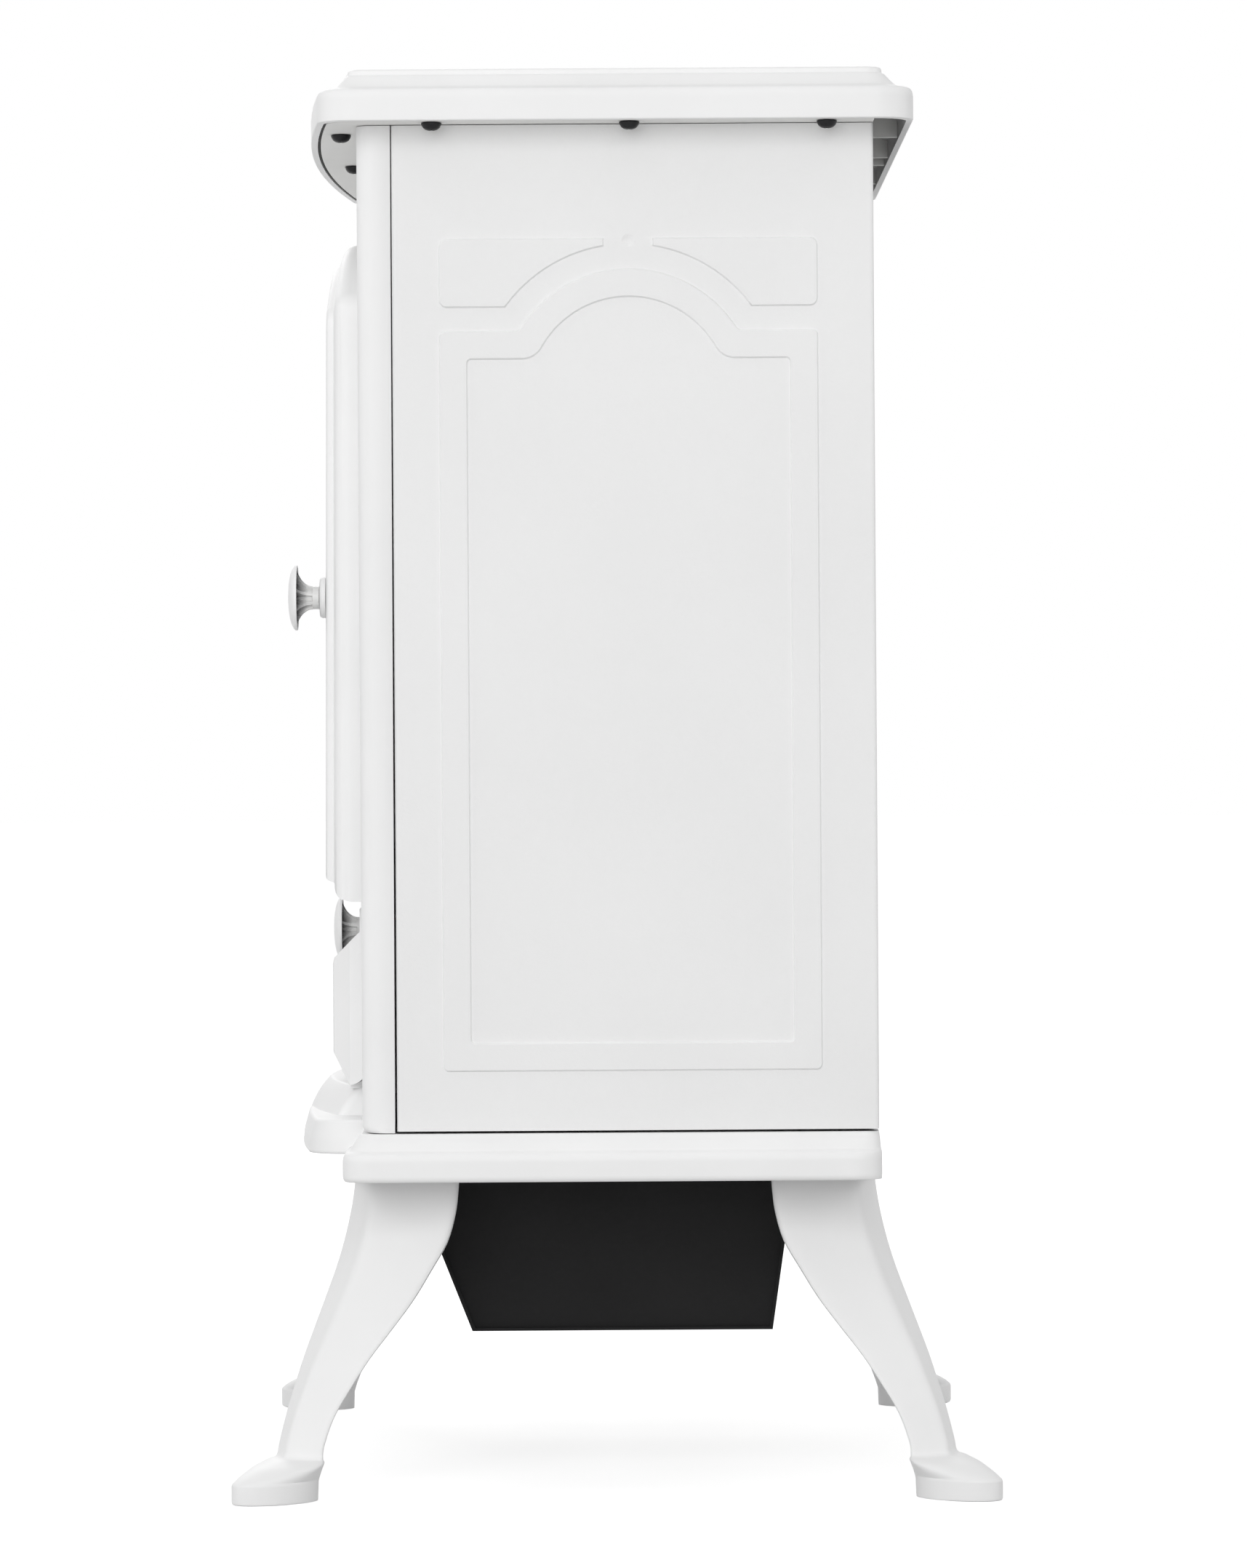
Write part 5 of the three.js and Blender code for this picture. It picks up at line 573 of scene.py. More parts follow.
def make_underplate():
    """The flat plate that closes the cover below, and its rubber edge. Both end at the body's rear."""
    sheet = [([(a, min(b, BODY_REAR)) for a, b in top_plan(inset)], TOP_RIM + up)
             for inset, up in ((4.3, 0), (4.1, 0.2), (4.1, UNDERPLATE))]
    piece("top_underplate_sheet", [loft("z", sheet)], underside_abs_with_painted_shade, "stove", "moulded_white",
          ["top_underplate"], sharp=50)
    edge = []
    for inset, way in ((3.2, 1), (3.8, -1)):
        front = [(a, b) for a, b in top_plan(inset) if b < 0]
        edge += [(inset - TOP_HALF, BODY_REAR), *front, (TOP_HALF - inset, BODY_REAR)][::way]
    piece("top_edge_strip", [prism("z", edge, TOP_RIM + GAP, TOP_RIM + 4)], rubber, "stove",
          "black_rubber", ["top_edge_seal"], sharp=50)


def make_screws():
    """Domed heads with a cross recess. The side ones stand where the photograph shows them."""
    dome = [(0.01, -3.2), (1.4, -3.12), (2.5, -2.8), (3.4, -2.15), (4.0, -1.2), (4.3, -0.25),
            (4.2, 0.0), (1.7, 0.0), (1.7, 7.3), (0.01, 9.0)]
    for index in range(1, 10):
        low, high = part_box(f"top_screw_{index}")
        x, y = (low.x + high.x) / 2 / MM, (low.y + high.y) / 2 / MM
        if index <= 2 * len(SIDE_SCREWS):
            y = SIDE_SCREWS[(index - 1) % len(SIDE_SCREWS)]
        head = piece(f"top_screw_head_{index}", [turned("z", x, y, [
            (radius, BODY_TOP + level) for radius, level in dome], 28)],
            black_oxide, "stove", "coated_black_steel", [f"top_screw_{index}"], sharp=50)
        recess = (BODY_TOP - 5, BODY_TOP - 1.8)
        carve(head, *(bar((x - across, x + across), (y - along, y + along), recess)
                      for across, along in ((2, 0.45), (0.45, 2))))


make_top()
make_underplate()
make_screws()


# Side panels
PRESS_MIDDLE = (BODY_REAR - PANEL_EDGE) / 2 - 2
PRESS_BOTTOM = 178.8
PRESS_SHOULDER = 490.0
PRESS_CENTRE = 462.0
PRESS_HALF = 79.8
PRESS_ARCH = 54.0
PRESS_BAND = 11.5
PRESS_RISE = 1.15
DIMPLE = (PRESS_MIDDLE, 527.6)
# The emboss rises in a soft S over this width. Each row is a share of the width and of the rise.
PRESS_SLOPE = 0.8
PRESS_CURVE = [(0, 0), (0.18, 0.08), (0.38, 0.32), (0.62, 0.68), (0.82, 0.92), (1, 1)]


def press_outline(grow, fillet, corner):
    """The emboss's outline: a box with an arch on its shoulders, moved outwards."""
    half, shoulder = PRESS_HALF + grow, PRESS_SHOULDER + grow
    foot, centre = PRESS_BOTTOM - grow + corner, shoulder + fillet
    left, right = PRESS_MIDDLE - half + corner, PRESS_MIDDLE + half - corner
    rise = centre - PRESS_CENTRE
    across = math.sqrt((PRESS_ARCH + grow + fillet) ** 2 - rise ** 2)
    lean = math.atan2(rise, across) / (2 * math.pi)
    return (arc(left, foot, corner, 0.5, 0.75, 5) + arc(right, foot, corner, 0.75, 1, 5)
            + arc(right, shoulder - corner, corner, 0, 0.25, 5)
            + arc(PRESS_MIDDLE + across, centre, fillet, 0.75, 0.5 + lean, 8)
            + arc(PRESS_MIDDLE, PRESS_CENTRE, PRESS_ARCH + grow, lean, 0.5 - lean, 48)[1:-1]
            + arc(PRESS_MIDDLE - across, centre, fillet, 1 - lean, 0.75, 8)
            + arc(left, shoulder - corner, corner, 0.25, 0.5, 5))


def band_outer(grow):
    """The band's outer edge."""
    return press_outline(grow, fillet=3 - grow, corner=2.6 + grow)


def band_inner(grow):
    """The band's inner edge, round the sunk field."""
    return press_outline(grow - PRESS_BAND, fillet=9 - grow, corner=2.2 + grow)


def spandrel(side, grow):
    """The raised corner above the arch, at one side of the dimple."""
    radius, tip, bottom, top = 63.8 - grow, 10 - grow, 499.5 - grow, 528.8 + grow
    corner = 3.5 + grow
    edge = PRESS_HALF + grow - corner
    start = math.asin((bottom - PRESS_CENTRE) / radius) / (2 * math.pi)
    end = math.acos(tip / radius) / (2 * math.pi)
    points = (arc(edge, bottom + corner, corner, 0.75, 1, 5)
              + arc(edge, top - corner, corner, 0, 0.25, 5)
              + [(tip, top)] + arc(0, PRESS_CENTRE, radius, end, start, 24))
    return [(PRESS_MIDDLE + side * a, b) for a, b in points][::side]


def slope(outline, level, rise):
    """The S-shaped flank of an emboss. The outline at 0 is its foot."""
    return loft("x", [(outline(-width * PRESS_SLOPE), level + up * rise) for width, up in PRESS_CURVE],
                caps=(False, False))


def make_side_panel(name, side):
    """Folded steel sheet: an embossed arched band, two spandrels and a small dimple."""
    face, raised, flange, fold = BODY_HALF, BODY_HALF + PRESS_RISE, BODY_HALF - 12, 1.6
    y, z = (-PANEL_EDGE + fold, BODY_REAR - fold), (BASE_TOP + 1, BODY_TOP)
    dimple = [(circle(*DIMPLE, radius, 32), face - depth) for radius, depth in
              [(2.9, 0), (2.5, 0.06), (2.0, 0.25), (1.2, 0.48), (0.4, 0.56), (0.01, 0.57)]]
    parts = [
        plate("x", face, rectangle(*y, *z),
              [band_outer(0), spandrel(1, 0), spandrel(-1, 0), dimple[0][0]]),
        slope(band_outer, face, PRESS_RISE),
        plate("x", raised, band_outer(-PRESS_SLOPE), [band_inner(0)]),
        slope(band_inner, raised, -PRESS_RISE),
        plate("x", face, band_inner(-PRESS_SLOPE)),
        loft("x", dimple, caps=(False, True)),
    ]
    for way in (1, -1):
        parts.append(slope(lambda grow, way=way: spandrel(way, grow), face, PRESS_RISE))
        parts.append(plate("x", raised, spandrel(way, -PRESS_SLOPE)))
    front = [(-a, b) for a, b in arc(fold - face, fold - PANEL_EDGE, fold, 0.5, 0.75, 6)]
    back = arc(face - fold, BODY_REAR - fold, fold, 0, 0.25, 6)
    for line in (front + [(flange, -PANEL_EDGE)], back + [(flange, BODY_REAR)]):
        count = len(line)
        parts.append(([(a, b, level) for level in z for a, b in line],
                      [(k, k + 1, count + k + 1, count + k) for k in range(count - 1)]))
    parts = [([(side * a, b, c) for a, b, c in points], faces) for points, faces in parts]
    piece(f"{name}_sheet", parts, white_coat, "stove", "coated_white_steel", [name], sharp=50, solid=1.0)


make_side_panel("side_panel_right", 1)
make_side_panel("side_panel_left", -1)


# Front surround
def door_outline(inset):
    """The door's arched outline with soft shoulders, moved inwards."""
    half, radius = DOOR_HALF - inset, DOOR_ARCH - inset
    centre = DOOR_PEAK - DOOR_ARCH
    shoulder = centre + math.sqrt(radius ** 2 - half ** 2)
    straight = shoulder - DOOR_SHOULDER
    start = math.acos(half / radius) / (2 * math.pi) + DOOR_SHOULDER / (2 * math.pi * radius)
    crown = arc(0, centre, radius, start, 0.5 - start, 40)
    side = [(half, DOOR_BOTTOM + inset + (straight - DOOR_BOTTOM - inset) * step / 6)
            for step in range(1, 7)]
    bend = rounded([side[-1], (half, shoulder), crown[0]], DOOR_SHOULDER * 2, 8)[1:-1]
    flank = side + bend
    return ([(-half, DOOR_BOTTOM + inset), (half, DOOR_BOTTOM + inset)] + flank + crown
            + [(-a, b) for a, b in reversed(flank)])


def window_outline(grow):
    """The firebox opening, which follows the door's arch."""
    return door_outline(24 - grow)


def control_outline(grow):
    """The control opening, moved outwards."""
    left, right, bottom, top = CONTROL_OPENING
    return rounded(rectangle(left - grow, right + grow, bottom - grow, top + grow), 3 + grow, 5,
                   closed=True)


def make_surround():
    """The moulded front: rounded upright edges, the two openings with their collars."""
    foot, radius, fillet, wall = BASE_TOP + GAP, 7.0, 3.5, 2.5
    reach = BODY_HALF - radius
    levels = [(fillet - across, foot + fillet - up) for across, up in arc(0, 0, fillet, 0, 0.25, 6)]
    levels = levels[::-1] + [(0, BODY_TOP)]
    rings = []
    for inset, z in levels:
        seam = SEAM_FOOT + (SEAM_TOP - SEAM_FOOT) * (z - foot) / (BODY_TOP - foot)
        rings.append([(-BODY_HALF, -seam),
                      *arc(-reach, radius - BODY_FRONT + inset, radius, 0.5, 0.75, 10),
                      *arc(reach, radius - BODY_FRONT + inset, radius, 0.75, 1, 10),
                      (BODY_HALF, -seam)])
    points = [(a, b, z) for ring, (_, z) in zip(rings, levels) for a, b in ring]
    # The flat front between the rounded edges is left open. The plate with the openings fills it.
    count = len(rings[0])
    flat = (len(levels) - 2, count // 2 - 1)
    faces = [(low * count + step, low * count + step + 1,
              (low + 1) * count + step + 1, (low + 1) * count + step)
             for low in range(len(levels) - 1) for step in range(count - 1)
             if (low, step) != flat]
    front = plate("y", BODY_FRONT, rectangle(-reach, reach, levels[-2][1], BODY_TOP),
                  [window_outline(0), control_outline(0)])
    moulding("front_surround_moulding", [(points, faces), front], ["front_surround"], sharp=40,
             solid=wall)
    collar = [(0.6, BODY_FRONT + 0.05), (0.1, BODY_FRONT - 0.2), (0, BODY_FRONT - 0.8),
              (0, SEAM_TOP + 0.6), (1.8, SEAM_TOP + 0.6), (2, BODY_FRONT - 1.2)]
    moulding("front_surround_collars",
             [loft("y", [(outline(grow), level) for grow, level in collar], caps=(False, False))
              for outline in (window_outline, control_outline)], sharp=45)


make_surround()


# Hinges
HINGE_X = -DOOR_HALF - 5.5
HINGE_REACH = SEAT + DOOR_THICKNESS * 0.4
HINGE_LEVELS = [DOOR_BOTTOM + share * (DOOR_PEAK - DOOR_BOTTOM) for share in (0.2, 0.76)]


def hinge_eye(low, high):
    """An eye round the door's pin, rounded at the ends."""
    profile = [(1.8, low + 0.2), (2.1, low), (3.5, low), (4, low + 0.5), (4, high - 0.5), (3.5, high),
               (2.1, high), (1.8, high - 0.2)]
    rings = [(circle(HINGE_X, -HINGE_REACH, radius, 28), level) for radius, level in profile]
    return loft("z", rings, closed=True)


def make_hinges():
    """Two lugs of the body round each knuckle of the door, and the flap's two lugs."""
    arm = [(HINGE_X - 3.9, 1 - BODY_FRONT), (HINGE_X - 3.9, 1 - HINGE_REACH),
           (HINGE_X - 2.2, 2.4 - HINGE_REACH)]
    arm = rounded(arm + [(2 * HINGE_X - a, b) for a, b in reversed(arm)], 0.6, 3, closed=True)
    lugs, knuckles = [], []
    for level in HINGE_LEVELS:
        for low, high in ((level - 9.4, level - 0.4), (level + 12.4, level + 21.4)):
            lugs += [hinge_eye(low, high), prism("z", arm, low + 0.3, high - 0.3)]
        web = bar((HINGE_X + 2.4, 1.2 - DOOR_HALF), (-HINGE_REACH - 2, 3.9 - HINGE_REACH),
                  (level + 0.3, level + 11.7))
        knuckles += [hinge_eye(level, level + 12), web]
    moulding("door_hinge_lugs", lugs, sharp=40)
    moulding("door_hinge_knuckles", knuckles, body="door", sharp=40)
    y, z = FLAP_PIVOT
    lug = [(1 - BODY_FRONT, z - 4), (y, z - 4), (y - 3.5, z - 2.6), (y - 4, z), (y - 3.5, z + 2.6),
           (y, z + 4), (1 - BODY_FRONT, z + 4)]
    lug = rounded(lug, 1.6, 4)
    flap_lugs = [prism("x", lug, x - 2.9, x + 2.9) for x in (-115, 115)]
    moulding("flap_hinge_lugs", flap_lugs, bevel=0.4)


make_hinges()


# Door
def door_level(depth, z):
    """How far the leaning front of the door reaches at a height."""
    middle = (DOOR_BOTTOM + DOOR_PEAK) / 2
    return SEAT + depth * (1 + 0.128 * (middle - z) / (DOOR_PEAK - DOOR_BOTTOM))


def make_door():
    """The arched frame: a two-step edge, a bevelled window and a rebate behind for the pane."""
    shares = [(0, 0), (0, 0.36), (0.04, 0.5), (0.13, 0.63), (0.28, 0.72), (0.47, 0.755),
              (0.66, 0.765), (0.69, 0.88), (0.76, 0.97), (0.9, 1)]
    edge = rounded([(inset * 12.5, depth * DOOR_THICKNESS) for inset, depth in shares]
                   + [(20, DOOR_THICKNESS)], 1.1, 4)
    face = rounded([(28, DOOR_THICKNESS), (34, DOOR_THICKNESS), (38, DOOR_THICKNESS - 4),
                    (38, 8), (32, 8)], 0.9, 4)
    back = rounded([(30, 8), (26, 8), (26, 0), (23.5, 0), (23.5, 8.5), (4, 8.5), (4, 0), (2, 0)],
                   0.5, 2)
    rings = []
    # Only the points in front of each line's own depth lean. The rest are square to the body.
    for line, flat in ((edge, 8.6), (face, 8), (back, DOOR_THICKNESS)):
        for inset, depth in line:
            lean = (lambda a, z, depth=depth: door_level(depth, z)) if depth > flat else SEAT + depth
            rings.append((door_outline(inset), lean))
    moulding("door_frame_moulding", [loft("y", rings, closed=True)], ["door_frame"], "door", sharp=40)


make_door()


# Knobs
def fin(x, z, foot, turn, shape, thickness):
    """A flat rib that stands out from the knob's core. The shape is (radius, level)."""
    out = Vector((math.cos(turn), math.sin(turn)))
    aside = Vector((-out.y, out.x)) * (thickness / 2)
    points = []
    for side in (-1, 1):
        for radius, level in shape:
            spot = out * radius + aside * side
            points.append((x + spot.x, -(foot + level), z + spot.y))
    count = len(shape)
    faces = [tuple(range(count)), tuple(reversed(range(count, 2 * count)))]
    faces += [(k, (k + 1) % count, count + (k + 1) % count, count + k) for k in range(count)]
    return points, faces


def knob_disc(x, z, foot):
    """The low turned disc that a knob stands on."""
    profile = rounded([(0.01, 0), (8.75, 0), (8.75, 1.7), (8.1, ROSETTE_HEIGHT), (0.01, ROSETTE_HEIGHT)],
                      0.6, 4)
    return turned("y", x, z, [(max(radius, 0.01), foot + level) for radius, level in profile], 56)


def knob_cap(x, z, foot):
    """The white outside of a pull knob: a thin domed disc with a turned-back rim."""
    length, rim = KNOB_LENGTH, KNOB_LENGTH - 4
    profile = spline([(0.01, length), (5, length - 0.15), (9, length - 0.7), (12, length - 1.6),
                      (13.5, length - 2.5)], 4)
    profile += [(KNOB_RADIUS, length - 3.0), (KNOB_RADIUS, rim + 0.1), (13.6, rim), (13.3, rim + 0.2),
                (13.1, length - 3.2), (8, length - 1.8), (0.01, length - 1.6)]
    return turned("y", x, z, [(radius, foot + level) for radius, level in profile], 64)


def knob_core(x, z, foot):
    """The knob's back: a core with eight ribs that flare out to the disc."""
    rim = KNOB_LENGTH - 4
    flare = spline([(4.95, 0), (4.95, rim * 0.3), (5.5, rim * 0.52), (7.2, rim * 0.76),
                    (10.0, rim * 0.95), (12.9, rim * 1.08)], 4)
    neck = [(radius, level) for radius, level in flare if level <= rim * 0.3]
    profile = [(0.01, 0), *neck, (3.7, neck[-1][1] + 0.3), (3.7, rim + 1), (13.0, rim + 1.2),
               (13.0, rim + 1.6), (0.01, rim + 1.6)]
    parts = [turned("y", x, z, [(radius, foot + level) for radius, level in profile], 64)]
    shape = [(3.0, rim + 1.4), (3.0, neck[-1][1] - 0.6)]
    shape += [(radius, level) for radius, level in flare if level > rim * 0.25] + [(12.9, rim + 1.4)]
    parts += [fin(x, z, foot, math.pi * (rib + 0.35) / 4, shape, 1.25) for rib in range(8)]
    return parts


def make_knobs():
    """The door's knob on its rosette, and the flap's knob with its disc in one moulding."""
    door_seat = door_level(DOOR_THICKNESS, DOOR_KNOB[1]) + GAP
    moulding("door_rosette_turning", [knob_disc(*DOOR_KNOB, door_seat)], ["door_rosette"], "door",
             sharp=40)
    door_foot = door_seat + ROSETTE_HEIGHT + GAP
    flap_seat = FLAP_MARGIN_FRONT + GAP
    flap_foot = flap_seat + ROSETTE_HEIGHT
    for body, spot, foot, extra in (("door", DOOR_KNOB, door_foot, []),
                                    ("flap", FLAP_KNOB, flap_foot, [knob_disc(*FLAP_KNOB, flap_seat)])):
        moulding(f"{body}_knob_cap", [knob_cap(*spot, foot), *extra], [f"{body}_knob"], body, sharp=40)
        piece(f"{body}_knob_back", knob_core(*spot, foot), make_knob_hollow_shade(body, foot), body,
              "black_plastic", sharp=40)


make_knobs()


# Flap
def flap_section(cut):
    """The flap's outline in Y and Z, with the front drawn back by a cut near the ends."""
    front, margin = FLAP_FRONT - cut, FLAP_MARGIN_FRONT
    chamfer_top, depth = 236.4, FLAP_FRONT - FLAP_MARGIN_FRONT
    foot_chamfer = FLAP_BOTTOM + 14 * max(front + FLAP_PIVOT[0], 0.3) / FLAP_ROUND
    round_foot = [(max(a, -front), b) for a, b in arc(*FLAP_PIVOT, FLAP_ROUND, 1, 0.75, 10)[1:]]
    return [(-SEAT, FLAP_PIVOT[1]), *round_foot, (-front, foot_chamfer),
            (-front, chamfer_top - depth + cut - 2), (0.6 - front, chamfer_top - depth + cut + 0.6),
            (-margin - 0.6, chamfer_top - 0.6), (-margin, chamfer_top), (-margin, FLAP_TOP - 0.5),
            (0.5 - margin, FLAP_TOP), (-SEAT, FLAP_TOP)]


def make_flap():
    """The drop-down panel: 45 degree chamfers, a rounded foot, a thin top margin and a scoop."""
    ends = [(0, 7.5), (0.6, 6.9), (6.9, 0.6), (7.8, 0.15), (9, 0)]
    rings = [(flap_section(cut), inset - FLAP_HALF) for inset, cut in ends]
    rings += [(flap_section(cut), FLAP_HALF - inset) for inset, cut in reversed(ends)]
    panel = moulding("flap_panel_moulding", [loft("x", rings)], ["flap_panel"], "flap", sharp=30)
    carve(panel, turned("y", *FLAP_KNOB, [(20, FLAP_MARGIN_FRONT), (20, FLAP_FRONT + 4)], 72))


make_flap()


# Base tray and hearth
def base_plan(inset, wall=0.0):
    """The base's outline. The inset goes from 0 at its band to 1 at its top."""
    return plan(BASE_HALF - 10 * inset - wall, BASE_FRONT - 8.3 * inset - wall,
                BASE_REAR - 1.2 * inset - wall, 12 - 6 * inset, corner=8)


def make_base():
    """The base moulding: a bullnose band below a sloping tier, hollow below."""
    shares = [(0.1, 0), (0, 0.07), (0, 0.47), (0.07, 0.57), (0.22, 0.62), (0.36, 0.64),
              (0.62, 0.83), (0.9, 0.98), (0.97, 1)]
    outer = rounded([(0.2, 0), *shares, (2, 1)], 0.09, 4)[:-1]
    rings = [(base_plan(1, 3), BASE_TOP - 3), (base_plan(0, 3), BASE_FOOT + 9),
             (base_plan(0, 3), BASE_FOOT)]
    rings += [(base_plan(inset), BASE_FOOT + up * (BASE_TOP - BASE_FOOT)) for inset, up in outer]
    moulding("base_tray_moulding", [loft("z", rings)], ["base_tray"], sharp=32)


make_base()


# The hearth's lip and its block: half width, corner radius and bow.
HEARTH_LIP = (150, 20, 6.7)
HEARTH_BLOCK = (120, 5, 15.1)
HEARTH_REACH = 32.2
# The front is a quarter of an oval of this depth and height, which starts above the lip's foot.
HEARTH_OVAL = (31.7, 36.5)
HEARTH_OVAL_FOOT = BASE_FOOT + 8


def hearth_draw(z):
    """How far the quarter-round front of the hearth has drawn back at a height."""
    depth, height = HEARTH_OVAL
    up = max(z - HEARTH_OVAL_FOOT, 0) / height
    return depth * (1 - math.sqrt(1 - up * up))


def hearth_ring(z, half, radius, bow, inset):
    """One level of the hearth: a bowed front with rounded corners, straight back into the body."""
    bow_steps, corner, root = 32, 10, BODY_FRONT - 2.5
    front = BODY_FRONT + HEARTH_REACH - bow - hearth_draw(z) - inset
    run = plan(half - inset, front, 0, radius, bow, bow_steps, corner)[:2 * corner + bow_steps + 1]
    return [(inset - half, -root), *run, (half - inset, -root)], z


def make_hearth():
    """The hearth: a bowed lip with an oval-fronted block on it, up to the flap's foot."""
    foot, top, crown = BASE_FOOT + 9, BASE_FOOT + 24, FLAP_BOTTOM - 1
    lip = [hearth_ring(z, *HEARTH_LIP, inset) for inset, z in rounded(
        [(3, foot), (0.4, foot), (0, foot + 1), (0, foot + 6), (0, top - 1), (1.2, top)], 0.8, 3)]
    low, high = foot + 2.5, crown - 0.6
    rows = [(low + (high - low) * step / 16, 0) for step in range(17)]
    rows += [(crown - 0.3, 0.25), (crown, 0.8)]
    block = [hearth_ring(z, *HEARTH_BLOCK, inset) for z, inset in rows]
    # A rail with a hollow face fills the corner behind the flap's round foot.
    rail = [(a, b) for a, b in arc(*FLAP_PIVOT, FLAP_ROUND + 0.4, 0.75, 1, 12) if a < -BODY_FRONT - 0.1]
    rail += [(-BODY_FRONT, rail[-1][1]), (-BODY_FRONT, crown - 1), (FLAP_PIVOT[0], crown - 1)]
    behind = prism("x", rail, -119, 119)
    moulding("hearth_moulding", [loft("z", lip), loft("z", block), behind], sharp=38)


make_hearth()


# Legs
LEG_HEIGHT = 132.3
LEG_SPREAD = 49.6
LEG_WIDTH = 45.2
# Each row is the share of the height, the share of the outward spread and the share of the width.
LEG_ROWS = [(1, 0, 1), (0.96, 0.012, 1.006), (0.891, 0.04, 1.012), (0.8, 0.093, 0.993),
            (0.71, 0.162, 0.917), (0.62, 0.248, 0.847), (0.531, 0.335, 0.745),
            (0.442, 0.421, 0.635), (0.353, 0.496, 0.546), (0.2645, 0.565, 0.467),
            (0.1756, 0.623, 0.438), (0.135, 0.648, 0.452)]
# The last number is the share of the foot's section against the shaft's.
FOOT_ROWS = [(0.124, 0.72, 0.545, 0.2), (0.108, 0.83, 0.65, 0.5), (0.085, 0.93, 0.735, 0.8),
             (0.068, 0.985, 0.78, 1)]
SOLE_ROWS = [(0.064, 0.995, 0.787), (0.058, 1, 0.79), (0.008, 1, 0.785), (0.002, 0.995, 0.778),
             (0, 0.985, 0.765)]
LEG_SECTION = [(0.52, 0), (0.36, 0.36), (0.13, 0.78), (-0.06, 1), (-0.22, 0.8), (-0.34, 0.36)]
FOOT_SECTION = [(1, 0), (0.86, 0.29), (0.42, 0.56), (-0.1, 0.64), (-0.6, 0.52), (-0.88, 0.24)]


def leg_ring(height, reach, width, share):
    """One section, scaled so that it spans the row's width in the side view, and its level."""
    half_section = [(a * (1 - share) + c * share, b * (1 - share) + d * share)
                    for (a, b), (c, d) in zip(LEG_SECTION, FOOT_SECTION)]
    section = half_section + [(out, -aside) for out, aside in reversed(half_section[1:])]
    section = spline(section, 5, closed=True)
    outermost = max((out + aside) * math.sqrt(0.5) for out, aside in section)
    innermost = min((out - aside) * math.sqrt(0.5) for out, aside in section)
    scale = width * LEG_WIDTH / (outermost - innermost)
    shift = (LEG_WIDTH / 2 + reach * LEG_SPREAD - outermost * scale) * math.sqrt(2)
    outline = [value for out, aside in section for value in (shift + out * scale, aside * scale)]
    return outline + [height * LEG_HEIGHT]


def make_legs():
    """Cabriole legs: a soft-keeled shaft that swings out at 45 degrees to a foot with a sole."""
    rows = spline([leg_ring(*row, 0) for row in LEG_ROWS] + [leg_ring(*row) for row in FOOT_ROWS], 4)
    rows += [leg_ring(*row, 1) for row in SOLE_ROWS]
    rings = [(list(zip(row[:-1:2], row[1:-1:2])), row[-1]) for row in reversed(rows)]
    for name, x, y, turn in (("front_right", 150.0, -88.0, -45), ("rear_right", 150.0, 89.4, 45),
                             ("rear_left", -150.0, 89.4, 135), ("front_left", -150.0, -88.0, -135)):
        moulding(f"leg_{name}_casting", [shifted(loft("z", rings), (x, y, 0), math.radians(turn))],
                 [f"leg_{name}"], sharp=40)


make_legs()


# Marks on the control panel
def make_marks():
    """Printed dots round the thermostat, larger from cold to hot, and a line on its pointer."""
    middle_x, middle_z = THERMOSTAT
    ring, first, count = 21, math.radians(225), 10
    dots = []
    for index in range(count):
        angle = first - math.radians(30 * index)
        x, z = middle_x + ring * math.cos(angle), middle_z + ring * math.sin(angle)
        radius = 0.5 + 0.09 * index
        dots.append(loft("y", [(circle(x, z, radius, 20), CONTROL_FACE + 0.02),
                               (circle(x, z, radius * 0.96, 20), CONTROL_FACE + 0.08)]))
    piece("thermostat_dots", dots, print_ink, "stove", "moulded_white", sharp=60)
    line = [(middle_x + reach * math.cos(first) - side * math.sin(first),
             middle_z + reach * math.sin(first) + side * math.cos(first))
            for reach, side in ((3.2, -0.6), (10.4, -0.6), (10.4, 0.6), (3.2, 0.6))]
    front = -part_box("thermostat_knob")[0][1] / MM
    piece("thermostat_pointer_line", [prism("y", line, front - 0.2, front + 0.06)],
          print_ink, "thermostat_knob", "moulded_white", sharp=60)


make_marks()


# Logs and embers
def make_log(node, length, bend, radius, seed, turn):
    """A bent log with ridged bark and flat sawn ends. The turn is in degrees about Z."""
    low, high = (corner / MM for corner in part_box(node))
    middle = (low + high) / 2
    sides, steps = 56, 40
    rings = []
    for step in range(steps + 1):
        along = step / steps
        swell = 1 - 0.16 * along - 0.05 * math.cos(9 * along)
        aside = bend * math.sin(math.pi * along)
        edge = min(1.0, min(along, 1 - along) * 14)
        ring = []
        for side in range(sides):
            angle = 2 * math.pi * side / sides
            spot = Vector((along * 5, 2.2 * math.cos(angle), 2.2 * math.sin(angle) + seed))
            bark_height = noise.ridged_multi_fractal(spot, 0.9, 2.1, 4, 0.9, 2.0) * 0.5
            reach = radius * swell + (bark_height - 1.1) * edge - 0.3
            ring.append((aside + reach * math.cos(angle), reach * math.sin(angle)))
        rings.append((ring, (along - 0.5) * length))
    where = (middle.x, middle.y - bend / 2, low.z + radius)
    piece(f"{node}_bark", [shifted(loft("x", rings), where, math.radians(turn))], bark, "stove",
          "bark_resin", [node], sharp=55)


make_log("log_back", 170, 3.0, 15.0, 0.0, 0)
make_log("log_front", 146.2, -3.0, 15.0, 9.0, 0)
make_log("log_top", 119, 0.0, 12.0, 21.0, 34)


